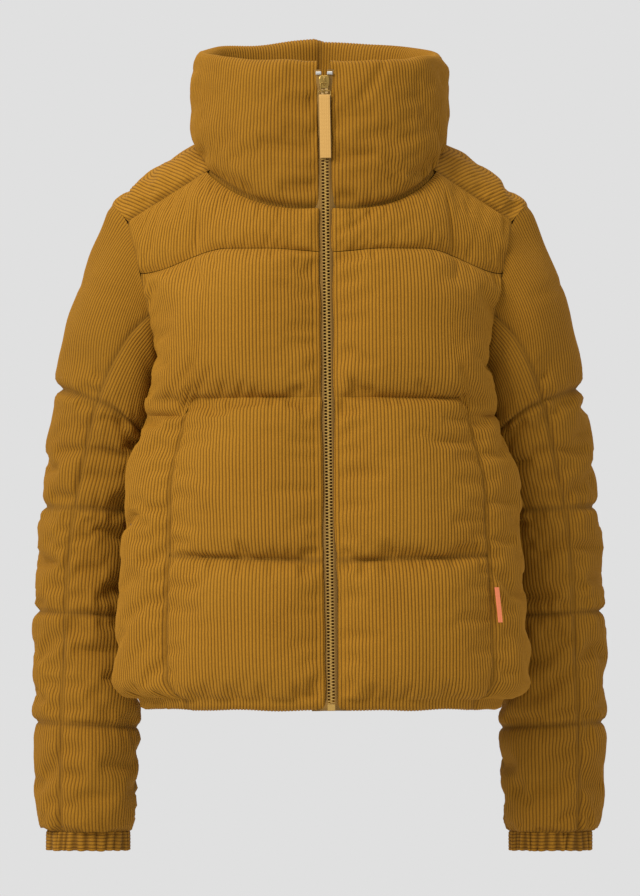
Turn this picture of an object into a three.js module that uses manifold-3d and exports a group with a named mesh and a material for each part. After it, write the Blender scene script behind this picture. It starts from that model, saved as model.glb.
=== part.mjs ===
// Quilted corduroy jacket with a funnel collar, zipped up and standing as if worn.
// Millimetres. +X is the wearer's left, -Y the front, +Z up. Z = 0 is the high point
// of the shoulders. Every cloth piece is a block bent onto one of the garment's surfaces:
// s and t run over the surface and the third side of the block is its depth into the wall.
import {
  BoxGeometry, BufferAttribute, BufferGeometry, ExtrudeGeometry, Float32BufferAttribute, Group,
  MathUtils, Mesh, MeshStandardMaterial, Path, Shape, TorusGeometry, Vector2, Vector3,
} from 'three';
import { mergeVertices } from 'three/addons/utils/BufferGeometryUtils.js';
import Module from 'manifold-3d';

const wasm = await Module();
wasm.setup();

// Torso
const bodyLength = 560; // shoulder to hem
const armpitDrop = 250; // shoulder to underarm
const backYokeDrop = 110; // shoulder to the back yoke seam
const chestHalfWidth = 182; // at the underarm, in front of the sleeve
const waistHalfWidth = 205;
const hipHalfWidth = 213; // the swell above the hem
const hemHalfWidth = 190;
const hipRise = 62; // height of the swell above the hem
const hipDepth = 140; // centre line to the front at the hem
const zipLean = 0.0498; // the front edge leans back by this much for each unit of height
const backDepth = 128; // centre line to the back
const hemBackDepth = 118;
const torsoRoundness = 2.3; // superellipse exponent of the plan section

// Shoulder and neck
const shoulderHalfWidth = 211;
const shoulderDrop = 57;
const tipY = 5; // the shoulder's tip lies this far behind the centre line
const frontHollow = 6; // how far the armhole curves in from between underarm and shoulder
const backBulge = 6.5; // and how far it curves out at the back
const neckHalfWidth = 127;
const neckFrontDrop = 58;
const neckBackRise = 14;
const neckBackDepth = 88;
const neckRoundness = 0.91; // sine exponent of the neck's plan
const neckClimbEnd = 115; // degrees from the front at which the neck seam has climbed to its back height
const neckClimbBend = 1.25; // how late the climb starts
const collarFrontRise = 82; // shoulder to the front of the collar's rim
const collarBackRise = 107;
const yokeSwell = 9;
const yokeAngle = MathUtils.degToRad(67); // where the shoulder seam meets the neck, from the front

// Sleeve
const sleeveLength = 628; // shoulder drop to the cuff's upper edge, straight down
const sleeveWidth = 104;
const sleeveDepth = 104;
const sleeveSet = 55; // the sleeve hangs this far behind the torso's centre line
const elbowDrop = 358;
const sleeveHalfGap = 234; // centre line to the sleeve's own centre, at the wrist
const cuffLength = 17;
const cuffWidth = 84;
const cuffDepth = 78;
const cuffForward = 8; // the cuff hangs this far before the elbow
const cuffThickness = 5;

// Wall
const shellThickness = 1.5;
const fillThickness = 13;
const sleeveFillThickness = 10;
const collarFillThickness = 8;
const liningThickness = 1;
const layerGap = 0.4;
const seamGap = 0.5;
const tubeEndGap = 0.006; // in rows, where one tube of the sleeve ends and the next starts

// Pocket
const pocketTopGap = 22; // underarm to the pocket's top
const pocketRise = 80; // hem to the pocket's bottom
const pocketReach = 0.25; // how far the bag reaches over the front, in columns
const pocketRoom = 6;
const pocketSheet = 0.8;
const tabWidth = 0.014; // in columns
const tabRise = 89; // hem to the tab's lower end
const tabLength = 34;
const tabThickness = 0.8;

// Neck label and hanger loop; rows and columns are shares of the collar
const labelGap = 2; // collar to the label
const labelReach = 0.07;
const labelRows = [0.32, 0.6];
const labelThickness = 0.7;
const loopReach = 0.12;
const loopRows = [0.12, 0.19];
const loopStandOff = 3;
const loopThickness = 2;

// Zip
const zipHalfGap = 11.5; // centre line to the front's edge
const cutBackColumn = 0.6; // the front column where the cut-back edge has run out
const zipTopShift = 4.5; // the zip stands this far to the wearer's left at the collar's rim
const zipBottomShift = 12;
const chainHalfWidth = 3.8;
const chainThickness = 2.6;
const tapeReach = 20;
const tapeThickness = 0.9;
const tapeTopGap = 2;
const chainMiddleGap = 0.15; // half the gap between the two chains
const boxHeight = 7; // the retainer box at the foot of the zip
const stopStart = 3;
const stopEnd = 8.5;
const stopThickness = 1.2;
const stopHeight = 3.5;
const zipDepth = 2.2; // how far the chain's face lies behind the front's face
const sliderLength = 13;
const sliderHalfWidth = 5;
const sliderPlate = 1.4;
const sliderPost = 3;
const sliderTopGap = 8; // the slider stands this far below the zip's upper end
const clearance = 0.35;

// Colours, from the made-up jacket
const looks = {
  corduroy: { color: 0xa06c22, roughness: 0.92 },
  corduroyShade: { color: 0x8e5f1f, roughness: 0.92 },
  lining: { color: 0x8a5c1e, roughness: 0.55 },
  fill: { color: 0xe9e4d8, roughness: 1 },
  tape: { color: 0x93661c, roughness: 0.85 },
  teeth: { color: 0x9b722e, roughness: 0.4 },
  metal: { color: 0xb79a62, roughness: 0.35, metalness: 0.9 },
  stop: { color: 0xc9c6bd, roughness: 0.3, metalness: 0.9 },
  ribbon: { color: 0xcfa255, roughness: 0.8 },
  tab: { color: 0xf08c5f, roughness: 0.8 },
};

const hemZ = -bodyLength;
const armpitZ = -armpitDrop;
const waistZ = (armpitZ + hemZ) / 2;
const pocketTopZ = armpitZ - pocketTopGap;
const pocketBottomZ = hemZ + pocketRise;
const elbowZ = -elbowDrop;
const wristZ = -shoulderDrop - sleeveLength;
const neckFrontZ = -neckFrontDrop;
const underarmAngle = MathUtils.degToRad(97);
const pocketColumn = 0.5; // the front column that the pocket seam follows
const neckColumn = 0.62; // the front column that meets the shoulder seam at the neck
const armholeColumn = 0.45; // the yoke column at the armhole's back corner

const frontColumns = [0, 0.05, 0.13, 0.25, 0.38, 0.46, pocketColumn, 0.54, neckColumn, 0.75, 0.88, 1];
const backColumns = [0, 0.14, 0.3, 0.5, 0.75, 1];
const yokeColumns = [0, 0.15, 0.3, ...backColumns.map((s) => MathUtils.lerp(armholeColumn, 1, s))];
const upperRows = [0, 0.22, 0.45, 0.7, 0.85, 1];
const chestRow = upperRows[3]; // the front yoke seam
const lowerLevels = levelsBetween(hemZ, armpitZ);

const model = new Group();
model.name = 'jacket';

// --- Numbers and blends

function levelsBetween(bottom, top) {
  const fixed = [bottom, bottom + 10, bottom + 35, bottom + hipRise, pocketBottomZ];
  fixed.push((pocketBottomZ + waistZ) / 2, waistZ, (waistZ + pocketTopZ) / 2, pocketTopZ, top);
  return fixed.sort((a, b) => a - b);
}

function smooth(value) {
  return MathUtils.smoothstep(value, 0, 1);
}

// Smooth height-by-height value from a rising list of [height, value].
function profile(levels, height) {
  const last = levels.length - 1;
  if (height <= levels[0][0]) return levels[0][1];
  if (height >= levels[last][0]) return levels[last][1];
  const upper = levels.findIndex(([level]) => level >= height);
  const [z0, v0] = levels[upper - 1];
  const [z1, v1] = levels[upper];
  return MathUtils.lerp(v0, v1, smooth((height - z0) / (z1 - z0)));
}

function mix(a, b, share) {
  return a.clone().lerp(b, share);
}

function span(columns, from, to) {
  const inside = columns.filter((value) => value > from + 1e-6 && value < to - 1e-6);
  return [from, ...inside, to];
}

// --- The torso's surface

function frontLine(z) {
  return -hipDepth + (z - hemZ) * zipLean;
}

function backLine(z) {
  return profile([[hemZ, hemBackDepth], [hemZ + 2 * hipRise, backDepth], [0, backDepth - 6]], z);
}

// Half width of the front, which stands out over the sleeve.
function frontHalfWidth(z) {
  const levels = [
    [hemZ, hemHalfWidth],
    [hemZ + hipRise / 2, hipHalfWidth],
    [hemZ + hipRise, hipHalfWidth],
    [waistZ + 60, waistHalfWidth],
    [armpitZ, chestHalfWidth],
  ];
  return profile(levels, z);
}

// Half width of the side and back, which the sleeve hangs against.
function backHalfWidth(z) {
  const free = sleeveHalfGap - sleeveWidth / 2 - 16;
  const levels = [[hemZ, free], [(hemZ + armpitZ) / 2, free - 2], [armpitZ, free - 8]];
  return Math.min(profile(levels, z), frontHalfWidth(z));
}

function ringPoint(angle, z) {
  const middle = (frontLine(z) + backLine(z)) / 2;
  const half = (backLine(z) - frontLine(z)) / 2;
  const turn = Math.cos(angle);
  const y = middle - half * Math.sign(turn) * Math.abs(turn) ** (2 / torsoRoundness);
  const forward = smooth((12 - y) / 55);
  const width = MathUtils.lerp(backHalfWidth(z), frontHalfWidth(z), forward);
  return new Vector3(width * Math.max(0, Math.sin(angle)) ** (2 / torsoRoundness), y, z);
}

// Round the neck: angle 0 is the centre front, a half turn the centre back.
function aroundNeck(angle, front, z) {
  const middle = (front + neckBackDepth) / 2;
  const half = (neckBackDepth - front) / 2;
  const x = neckHalfWidth * Math.max(0, Math.sin(angle)) ** neckRoundness;
  return new Vector3(x, middle - half * Math.cos(angle), z);
}

function neckPoint(angle) {
  const climb = smooth(MathUtils.radToDeg(angle) / neckClimbEnd) ** neckClimbBend;
  return aroundNeck(angle, frontLine(neckFrontZ), MathUtils.lerp(neckFrontZ, neckBackRise, climb));
}

function rimPoint(angle) {
  const z = MathUtils.lerp(collarFrontRise, collarBackRise, (1 - Math.cos(angle)) / 2);
  return aroundNeck(angle, frontLine(collarFrontRise), z);
}

const underarm = ringPoint(underarmAngle, armpitZ);
const shoulderTip = new Vector3(shoulderHalfWidth, tipY, -shoulderDrop);
const shoulderFront = new Vector3(shoulderHalfWidth - 14, tipY - 32, -shoulderDrop - 12);
const shoulderBack = new Vector3(shoulderHalfWidth - 15, tipY + 53, -backYokeDrop);
const neckFrontCorner = neckPoint(yokeAngle);

// Quadratic bend from a to b through a pull point.
function bend(a, pull, b, share) {
  return mix(mix(a, pull, share), mix(pull, b, share), share);
}

const frontPull = new Vector3((underarm.x + shoulderFront.x) / 2 - frontHollow, -88, -armpitDrop * 0.78);
const backPull = new Vector3((underarm.x + shoulderBack.x) / 2 + backBulge, 108, -armpitDrop * 0.8);
const tipPull = shoulderTip.clone().multiplyScalar(2).sub(mix(shoulderFront, shoulderBack, 0.5));

function armholeFront(t) {
  return bend(underarm, frontPull, shoulderFront, t);
}

function armholeBack(t) {
  return bend(underarm, backPull, shoulderBack, t);
}

function armholeTop(share) {
  return bend(shoulderFront, tipPull, shoulderBack, share);
}

// Surface stretched between four edges.
function stretched(bottom, top, left, right, s, t) {
  const point = mix(bottom(s), top(s), t);
  point.add(mix(left(t), right(t), s));
  const corners = mix(mix(bottom(0), bottom(1), s), mix(top(0), top(1), s), t);
  return point.sub(corners);
}

function frontTop(s) {
  if (s <= neckColumn) return neckPoint((s / neckColumn) * yokeAngle);
  return mix(neckFrontCorner, shoulderFront, (s - neckColumn) / (1 - neckColumn));
}

function frontEdge(t) {
  const z = MathUtils.lerp(armpitZ, neckFrontZ, t);
  return new Vector3(0, frontLine(z), z);
}

function centreBack(t) {
  const z = MathUtils.lerp(armpitZ, -backYokeDrop, t);
  return new Vector3(0, backLine(z), z);
}

// The front's edge is cut back from the centre line to leave room for the zip.
function cutBack(point, s) {
  point.x += zipHalfGap * Math.max(0, 1 - s / cutBackColumn) ** 2;
  return point;
}

function upperFront(s, t) {
  const bottom = (share) => ringPoint(share * underarmAngle, armpitZ);
  return cutBack(stretched(bottom, frontTop, frontEdge, armholeFront, s, t), s);
}

function lowerFront(s, z) {
  return cutBack(ringPoint(s * underarmAngle, z), s);
}

function backAngle(s) {
  return MathUtils.lerp(underarmAngle, Math.PI, s);
}

function lowerBack(s, z) {
  return ringPoint(backAngle(s), z);
}

function backSeam(s) {
  const end = centreBack(1);
  const bow = Math.sin((s * Math.PI) / 2);
  return new Vector3(shoulderBack.x * (1 - s), MathUtils.lerp(shoulderBack.y, end.y, bow), end.z);
}

function upperBack(s, t) {
  const bottom = (share) => ringPoint(backAngle(share), armpitZ);
  return stretched(bottom, backSeam, armholeBack, centreBack, s, t);
}

function yokeSurface(s, t) {
  const early = s <= armholeColumn;
  const outer = early ? armholeTop(s / armholeColumn) : backSeam((s - armholeColumn) / (1 - armholeColumn));
  const inner = neckPoint(MathUtils.lerp(yokeAngle, Math.PI, s));
  const point = mix(outer, inner, t);
  return point.addScaledVector(inward(point), -yokeSwell * 4 * t * (1 - t) * smooth(s * 6));
}

// The collar's columns carry on from the front's neck columns to the yoke's.
function collarAngle(s) {
  if (s <= neckColumn) return (s / neckColumn) * yokeAngle;
  return MathUtils.lerp(yokeAngle, Math.PI, (s - neckColumn) / (1 - neckColumn));
}

const collarColumns = [
  ...frontColumns.filter((s) => s <= neckColumn),
  ...yokeColumns.slice(1).map((s) => MathUtils.lerp(neckColumn, 1, s)),
];

function collarSurface(s, t) {
  const angle = collarAngle(s);
  return cutBack(mix(neckPoint(angle), rimPoint(angle), t), s);
}

// --- Which way is into the wall

function inward(point) {
  const aim = new Vector3(point.x * 0.45, -10, Math.min(point.z, -backYokeDrop));
  return aim.sub(point).normalize();
}

function inwardAtCollar(point, t) {
  const level = new Vector3(point.x * 0.3, -10, point.z).sub(point).normalize();
  return inward(point).lerp(level, smooth(t * 3)).normalize();
}

// --- Solids

function closedBody(geometry) {
  geometry.deleteAttribute('normal');
  geometry.deleteAttribute('uv');
  const merged = mergeVertices(geometry, 1e-5);
  if (signedVolume(merged) < 0) {
    merged.setIndex(Array.from(merged.index.array).reverse());
  }
  return merged;
}

function signedVolume(geometry) {
  const position = geometry.attributes.position;
  const index = geometry.index.array;
  const corner = [new Vector3(), new Vector3(), new Vector3()];
  let total = 0;
  for (let i = 0; i < index.length; i += 3) {
    corner.forEach((point, k) => point.fromBufferAttribute(position, index[i + k]));
    total += corner[0].dot(corner[1].clone().cross(corner[2]));
  }
  return total / 6;
}

function toSolid(geometry) {
  const merged = closedBody(geometry);
  const vertProperties = new Float32Array(merged.attributes.position.array);
  const triVerts = new Uint32Array(merged.index.array);
  return new wasm.Manifold(new wasm.Mesh({ numProp: 3, vertProperties, triVerts }));
}

function fromSolid(solid) {
  const mesh = solid.getMesh();
  const geometry = new BufferGeometry();
  geometry.setAttribute('position', new Float32BufferAttribute(mesh.vertProperties, 3));
  geometry.setIndex(new BufferAttribute(mesh.triVerts, 1));
  return geometry;
}

function addPiece(name, geometry, look, group = model) {
  const mesh = new Mesh(geometry, new MeshStandardMaterial({ metalness: 0, ...looks[look] }));
  mesh.name = name;
  group.add(mesh);
  return mesh;
}

// The whole jacket leans with its zip, which stands a little to the wearer's left.
function zipShift(z) {
  const share = (z - hemZ) / (collarFrontRise - hemZ);
  return MathUtils.lerp(zipBottomShift, zipTopShift, share);
}

function settled(point, side) {
  point.x = point.x * side + zipShift(point.z) * smooth((-point.y - 10) / 105);
  return point;
}

// Layers stay parallel only if their cells are all split along the same diagonal, which
// rises away from the centre front.
function splitCell(index, start) {
  const [a, b, d, , c] = index.slice(start, start + 6);
  index.set([a, b, c, a, c, d], start);
}

function alignDiagonals(box, across, falls) {
  [box.groups[4], box.groups[5]].forEach((face, inner) => {
    for (let cell = 0; cell < face.count / 6; cell += 1) {
      const step = cell % across;
      const column = inner ? across - 1 - step : step;
      if (falls(column) !== Boolean(inner)) splitCell(box.index.array, face.start + cell * 6);
    }
  });
}

// A piece across the centre back runs toward the front again past its middle.
function fallsPastCentre(columns) {
  return (column) => columns[0] < 0 && columns[column] + columns[column + 1] > 0;
}

// A block of cloth: rows and columns over the surface, and a depth range into the wall.
function clothBlock(columns, rows, depths, pointAt, side, falls = fallsPastCentre(columns)) {
  const box = new BoxGeometry(1, 1, 1, columns.length - 1, rows.length - 1, 1);
  const position = box.attributes.position;
  for (let i = 0; i < position.count; i += 1) {
    const column = Math.round((position.getX(i) + 0.5) * (columns.length - 1));
    const row = Math.round((position.getY(i) + 0.5) * (rows.length - 1));
    const depth = depths[Math.round(position.getZ(i) + 0.5)];
    const point = settled(pointAt(columns[column], rows[row], depth), side);
    position.setXYZ(i, point.x, point.y, point.z);
  }
  alignDiagonals(box, columns.length - 1, falls);
  return closedBody(box);
}

// A hollow sleeve of cloth: closed round the arm, open at both ends.
function clothTube(columns, rows, depths, pointAt, side) {
  const around = columns.length;
  const loop = [];
  rows.forEach((row) => loop.push([row, depths[0]]));
  [...rows].reverse().forEach((row) => loop.push([row, depths[1]]));
  const tube = new TorusGeometry(2, 1, loop.length, around);
  const position = tube.attributes.position;
  const uv = tube.attributes.uv;
  for (let i = 0; i < position.count; i += 1) {
    const column = Math.round(uv.getX(i) * around) % around;
    const [row, depth] = loop[Math.round(uv.getY(i) * loop.length) % loop.length];
    const point = settled(pointAt(columns[column], row, depth), side);
    position.setXYZ(i, point.x, point.y, point.z);
  }
  for (let cell = rows.length * around; cell < tube.index.count / 6; cell += 1) {
    splitCell(tube.index.array, cell * 6);
  }
  return closedBody(tube);
}

function inset(list, amount) {
  const trimmed = [...list];
  trimmed[0] += amount;
  trimmed[trimmed.length - 1] -= amount;
  return trimmed;
}

// Pulls the two end columns and rows in by half a seam gap, measured on the surface.
function fitted(columns, rows, surface) {
  const [s0, s1] = [columns[0], columns[columns.length - 1]];
  const [t0, t1] = [rows[0], rows[rows.length - 1]];
  const middle = (t0 + t1) / 2;
  const across = surface(s0, middle).distanceTo(surface(s1, middle)) / (s1 - s0);
  const centre = (s0 + s1) / 2;
  const along = surface(centre, t0).distanceTo(surface(centre, t1)) / (t1 - t0);
  return [inset(columns, seamGap / across), inset(rows, seamGap / along)];
}

function layer(name, look, columns, rows, depths, surface, side, toward = inward) {
  const [across, along] = fitted(columns, rows, surface);
  const pointAt = (s, t, depth) => {
    const point = surface(s, t);
    return point.addScaledVector(toward(point.clone(), t), depth);
  };
  addPiece(name, clothBlock(across, along, depths, pointAt, side), look);
}

const shellDepths = [0, shellThickness];
const fillDepths = [shellThickness + layerGap, shellThickness + layerGap + fillThickness];
const liningStart = fillDepths[1] + layerGap;
const liningDepths = [liningStart, liningStart + liningThickness];
const pocketDepths = [fillDepths[1] - pocketRoom - 2, fillDepths[1]];
const thinFillDepths = [fillDepths[0], pocketDepths[0] - layerGap];

// One surface from the hem to the neck: heights below the underarm, then 0 to 1 above it.
const upperStretch = 200;

function wholeFront(s, row) {
  return row <= armpitZ ? lowerFront(s, row) : upperFront(s, (row - armpitZ) / upperStretch);
}

function wholeBack(s, row) {
  return row <= armpitZ ? lowerBack(s, row) : upperBack(s, (row - armpitZ) / upperStretch);
}

const upperSteps = upperRows.map((t) => armpitZ + t * upperStretch);
const wholeRows = [...lowerLevels, ...upperSteps.slice(1)];
const chestStep = armpitZ + chestRow * upperStretch;
const topStep = armpitZ + upperStretch;

function sideName(name, side) {
  return `${name}_${side > 0 ? 'left' : 'right'}`;
}

// --- Front, side and pocket

function makeFront(side) {
  const name = (text) => sideName(text, side);
  const lowerColumns = span(frontColumns, 0, pocketColumn);
  const fillStart = frontColumns[1];
  const facingEnd = frontColumns[2];
  const put = (text, look, columns, from, to, depths) => {
    layer(name(text), look, columns, span(wholeRows, from, to), depths, wholeFront, side);
  };
  put('front_panel', 'corduroy', lowerColumns, hemZ, armpitZ, shellDepths);
  put('chest_panel', 'corduroy', frontColumns, armpitZ, chestStep, shellDepths);
  put('front_yoke', 'corduroy', frontColumns, chestStep, topStep, shellDepths);
  put('chest_fill', 'fill', span(frontColumns, fillStart, 1), armpitZ, topStep, fillDepths);
  const waistColumns = span(frontColumns, fillStart, pocketColumn);
  put('waist_fill', 'fill', waistColumns, waistZ, armpitZ, thinFillDepths);
  put('hem_fill', 'fill', waistColumns, hemZ, waistZ, thinFillDepths);
  put('facing', 'corduroyShade', span(frontColumns, 0, facingEnd), hemZ, topStep, liningDepths);
  put('front_lining', 'lining', span(frontColumns, facingEnd, pocketColumn), hemZ, topStep, liningDepths);
}

function makeSide(side) {
  const columns = span(frontColumns, pocketColumn, 1);
  layer(sideName('side_panel', side), 'corduroy', columns, lowerLevels, shellDepths, wholeFront, side);
  const fillColumns = span(frontColumns, frontColumns[7], 1);
  layer(sideName('side_fill', side), 'fill', fillColumns, lowerLevels, fillDepths, wholeFront, side);
}

// A folded sheet behind the front's filling, open toward the side seam.
function makePocket(side) {
  const fold = pocketColumn - pocketReach;
  const across = span(frontColumns, fold, pocketColumn);
  const front = [...across].reverse().map((s) => [s, pocketDepths[0], 1]);
  const back = across.map((s) => [s, pocketDepths[1], -1]);
  const path = [...front, ...back];
  const pointAt = (index, z, depth) => {
    const [s, base, turn] = path[index];
    const point = lowerFront(s, z);
    return point.addScaledVector(inward(point), base + turn * depth);
  };
  const columns = path.map((entry, index) => index);
  const rows = inset(span(lowerLevels, pocketBottomZ, pocketTopZ), seamGap);
  const falls = (column) => column < front.length;
  const bag = clothBlock(columns, rows, [0, pocketSheet], pointAt, side, falls);
  addPiece(sideName('pocket_bag', side), bag, 'lining');
}

function makeTab() {
  const low = hemZ + tabRise;
  const columns = [pocketColumn, pocketColumn + tabWidth];
  const depths = [-layerGap - tabThickness, -layerGap];
  layer('pocket_tab', 'tab', columns, [low, low + tabLength], depths, lowerFront, 1);
}

// --- Back, yoke and lining

// A piece that crosses the centre back: columns run from one side seam to the other.
function acrossBack(surface) {
  return (s, t) => {
    const point = surface(1 - Math.abs(s), t);
    point.x *= Math.sign(s) || 0;
    return point;
  };
}

function mirrored(columns) {
  const half = columns.map((s) => 1 - s).sort((a, b) => a - b);
  return [...half.slice(1).reverse().map((s) => -s), ...half];
}

function makeBack() {
  const columns = mirrored(backColumns);
  const surface = acrossBack(wholeBack);
  layer('back_panel', 'corduroy', columns, wholeRows, shellDepths, surface, 1);
  const bands = [
    ['back_fill_hem', hemZ, waistZ],
    ['back_fill_waist', waistZ, armpitZ],
    ['back_fill_upper', armpitZ, topStep],
  ];
  bands.forEach(([name, from, to]) => {
    layer(name, 'fill', columns, span(wholeRows, from, to), fillDepths, surface, 1);
  });
}

// Below the underarm the lining wraps round from one pocket seam to the other.
function makeBackLining() {
  const upper = span(wholeRows, armpitZ, topStep);
  layer('back_lining', 'lining', mirrored(backColumns), upper, liningDepths, acrossBack(wholeBack), 1);
  const fronts = span(frontColumns, pocketColumn, 1).map((s) => s - 1);
  const half = [...fronts, ...backColumns.slice(1)];
  const surface = (s, z) => (s <= 0 ? lowerFront(s + 1, z) : lowerBack(s, z));
  const round = (s, z) => {
    const point = surface(1 - Math.abs(s), z);
    point.x *= Math.sign(s) || 0;
    return point;
  };
  layer('body_lining', 'lining', mirrored(half), lowerLevels, liningDepths, round, 1);
}

function makeYoke() {
  const columns = mirrored(yokeColumns);
  const surface = acrossBack(yokeSurface);
  const rows = [0, 0.33, 0.67, 1];
  layer('shoulder_yoke', 'corduroy', columns, rows, shellDepths, surface, 1);
  layer('yoke_fill', 'fill', columns, rows, fillDepths, surface, 1);
}

// --- Collar

function makeCollar(side) {
  const name = (text) => sideName(text, side);
  const rows = [0, 0.25, 0.5, 0.75, 1];
  const start = shellThickness + layerGap;
  const innerStart = start + collarFillThickness + layerGap;
  const fillColumns = span(collarColumns, frontColumns[1], 1);
  const innerDepths = [innerStart, innerStart + shellThickness];
  const put = (text, look, columns, depths) => {
    layer(name(text), look, columns, rows, depths, collarSurface, side, inwardAtCollar);
  };
  put('collar_outer', 'corduroy', collarColumns, shellDepths);
  put('collar_fill', 'fill', fillColumns, [start, start + collarFillThickness]);
  put('collar_inner', 'corduroyShade', collarColumns, innerDepths);
  return innerDepths[1];
}

// --- Sleeve

// The armhole's loop: up the front from the underarm, over the shoulder, down the back.
const armholeSteps = [
  ...upperRows.slice(0, -1).map((t, i) => ({ at: armholeFront(t), turn: 180 + 30 * i })),
  ...yokeColumns.filter((s) => s < armholeColumn).map((s, i) => {
    return { at: armholeTop(s / armholeColumn), turn: 335 + 20 * i };
  }),
  ...[...upperRows].reverse().slice(0, -1).map((t, i) => ({ at: armholeBack(t), turn: 395 + 28 * i })),
];
const armColumns = armholeSteps.map((step, index) => index);

const sleeveInner = sleeveHalfGap - sleeveWidth / 2;
const sleeveOuter = sleeveHalfGap + sleeveWidth / 2;
const sleeveHalfDepth = sleeveDepth / 2;

// Over the shoulder a ring slopes: its outer point starts high and its inner point low.
const slopedRings = [
  { outerX: sleeveOuter - 46, outerZ: -shoulderDrop - 68, innerDrop: 20, wider: 14, forward: 41 },
  { outerX: sleeveOuter - 30, outerZ: -shoulderDrop - 148, innerDrop: 45, wider: 10, forward: 25 },
  { outerX: sleeveOuter - 17, outerZ: armpitZ - 40, innerDrop: 80, wider: 6, forward: 11 },
].map(({ outerX, outerZ, innerDrop, wider, forward }) => ({
  outer: [outerX, outerZ],
  inner: [sleeveInner - 10, armpitZ - innerDrop],
  half: sleeveHalfDepth + wider,
  y: sleeveSet - forward,
}));

// Down the arm the rings are level; each is a share of the way from the elbow to the wrist.
const levelRings = [
  { share: 0.12, narrower: 5, half: sleeveHalfDepth + 2, forward: 0 },
  { share: 0.44, narrower: 0, half: sleeveHalfDepth, forward: 0 },
  { share: 0.72, narrower: 0, half: sleeveHalfDepth, forward: 6 },
  { share: 0.93, narrower: 3, half: sleeveHalfDepth - 4, forward: 8 },
  { share: 1, narrower: 9, half: cuffDepth / 2 + 4, forward: cuffForward },
].map(({ share, narrower, half, forward }) => {
  const z = MathUtils.lerp(elbowZ, wristZ, share);
  const outer = [sleeveOuter - narrower, z];
  const inner = [sleeveInner + narrower, z];
  return { outer, inner, half, y: sleeveSet - forward };
});

const rings = [...slopedRings, ...levelRings];

function ringOnSleeve(ring, turn, depth) {
  const outer = new Vector3(ring.outer[0], ring.y, ring.outer[1]);
  const inner = new Vector3(ring.inner[0], ring.y, ring.inner[1]);
  const centre = mix(outer, inner, 0.5);
  const across = outer.clone().sub(inner);
  const half = across.length() / 2 - depth;
  const angle = MathUtils.degToRad(turn);
  centre.addScaledVector(across.normalize(), half * Math.cos(angle));
  centre.y += (ring.half - depth) * Math.sin(angle);
  return centre;
}

// Row 0 is the armhole, row 1 the first ring, and so on down to the wrist.
function sleevePoint(column, row, depth) {
  const step = armholeSteps[column];
  const lower = Math.floor(row);
  if (row >= 1) {
    const first = ringOnSleeve(rings[lower - 1], step.turn, depth);
    if (row === lower) return first;
    return mix(first, ringOnSleeve(rings[lower], step.turn, depth), row - lower);
  }
  const middle = mix(armholeFront(0), armholeTop(0.5), 0.5);
  const head = step.at.clone();
  head.addScaledVector(middle.sub(head).normalize(), depth);
  head.x += seamGap;
  return mix(head, ringOnSleeve(rings[0], step.turn, depth), row);
}

function makeSleeve(side) {
  const name = (text) => sideName(text, side);
  const wrist = rings.length;
  const rows = [...Array(wrist + 1).keys()];
  const start = shellThickness + layerGap;
  const end = start + sleeveFillThickness;
  const elbow = slopedRings.length + 1;
  const tube = (text, look, list, depths) => {
    const trimmed = [...list];
    trimmed[trimmed.length - 1] -= tubeEndGap;
    if (trimmed[0] > 0) trimmed[0] += tubeEndGap;
    addPiece(name(text), clothTube(armColumns, trimmed, depths, sleevePoint, side), look);
  };
  tube('sleeve', 'corduroyShade', rows, shellDepths);
  tube('sleeve_fill_upper', 'fill', rows.slice(0, elbow + 1), [start, end]);
  tube('sleeve_fill_lower', 'fill', rows.slice(elbow), [start, end]);
  tube('sleeve_lining', 'lining', rows, [end + layerGap, end + layerGap + liningThickness]);
  makeCuff(name('cuff'), side);
}

function makeCuff(name, side) {
  const top = wristZ - seamGap;
  const levels = [top, top - cuffLength / 2, top - cuffLength];
  const centreY = sleeveSet - cuffForward;
  const pointAt = (column, z, depth) => {
    const turn = MathUtils.degToRad(armholeSteps[column].turn);
    const x = sleeveHalfGap + (cuffWidth / 2 - depth) * Math.cos(turn);
    return new Vector3(x, centreY + (cuffDepth / 2 - depth) * Math.sin(turn), z);
  };
  addPiece(name, clothTube(armColumns, levels, [0, cuffThickness], pointAt, side), 'corduroyShade');
}

// --- Neck trim

function makeNeckTrim(innerDepth) {
  const surface = (s, t) => collarSurface(1 - Math.abs(s), t);
  const pointAt = (s, t, depth) => {
    const point = surface(s, t);
    point.x *= Math.sign(s) || 0;
    return point.addScaledVector(inwardAtCollar(point.clone(), 1), depth);
  };
  const near = innerDepth + labelGap;
  const labelColumns = [-labelReach, 0, labelReach];
  const labelDepths = [near, near + labelThickness];
  addPiece('neck_label', clothBlock(labelColumns, labelRows, labelDepths, pointAt, 1), 'ribbon');
  const loopColumns = [-loopReach, -loopReach / 2, 0, loopReach / 2, loopReach];
  const loopDepths = [near + loopStandOff, near + loopStandOff + loopThickness];
  addPiece('hanger_loop', clothBlock(loopColumns, loopRows, loopDepths, pointAt, 1), 'tape');
}

// --- Zip. Its own group: local Z runs up the zip, local -Y faces the front.

const zipBottom = new Vector3(zipBottomShift, frontLine(hemZ), hemZ);
const zipTop = new Vector3(zipTopShift, frontLine(collarFrontRise), collarFrontRise);
const zipLength = zipTop.distanceTo(zipBottom);
const chainBack = zipDepth + chainThickness;
const tapeFace = zipDepth + (chainThickness - tapeThickness) / 2;
const sliderTop = zipLength - sliderTopGap;
const sliderBottom = sliderTop - sliderLength;
const sliderFace = zipDepth - clearance - sliderPlate;

const zip = new Group();
zip.position.copy(zipBottom);
zip.quaternion.setFromUnitVectors(new Vector3(0, 0, 1), zipTop.clone().sub(zipBottom).normalize());
model.add(zip);

function boxBetween(low, high, steps = 1) {
  const size = high.map((value, axis) => value - low[axis]);
  const box = new BoxGeometry(size[0], size[1], size[2], 1, 1, steps);
  const centre = high.map((value, axis) => (value + low[axis]) / 2);
  return box.translate(...centre);
}

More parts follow.
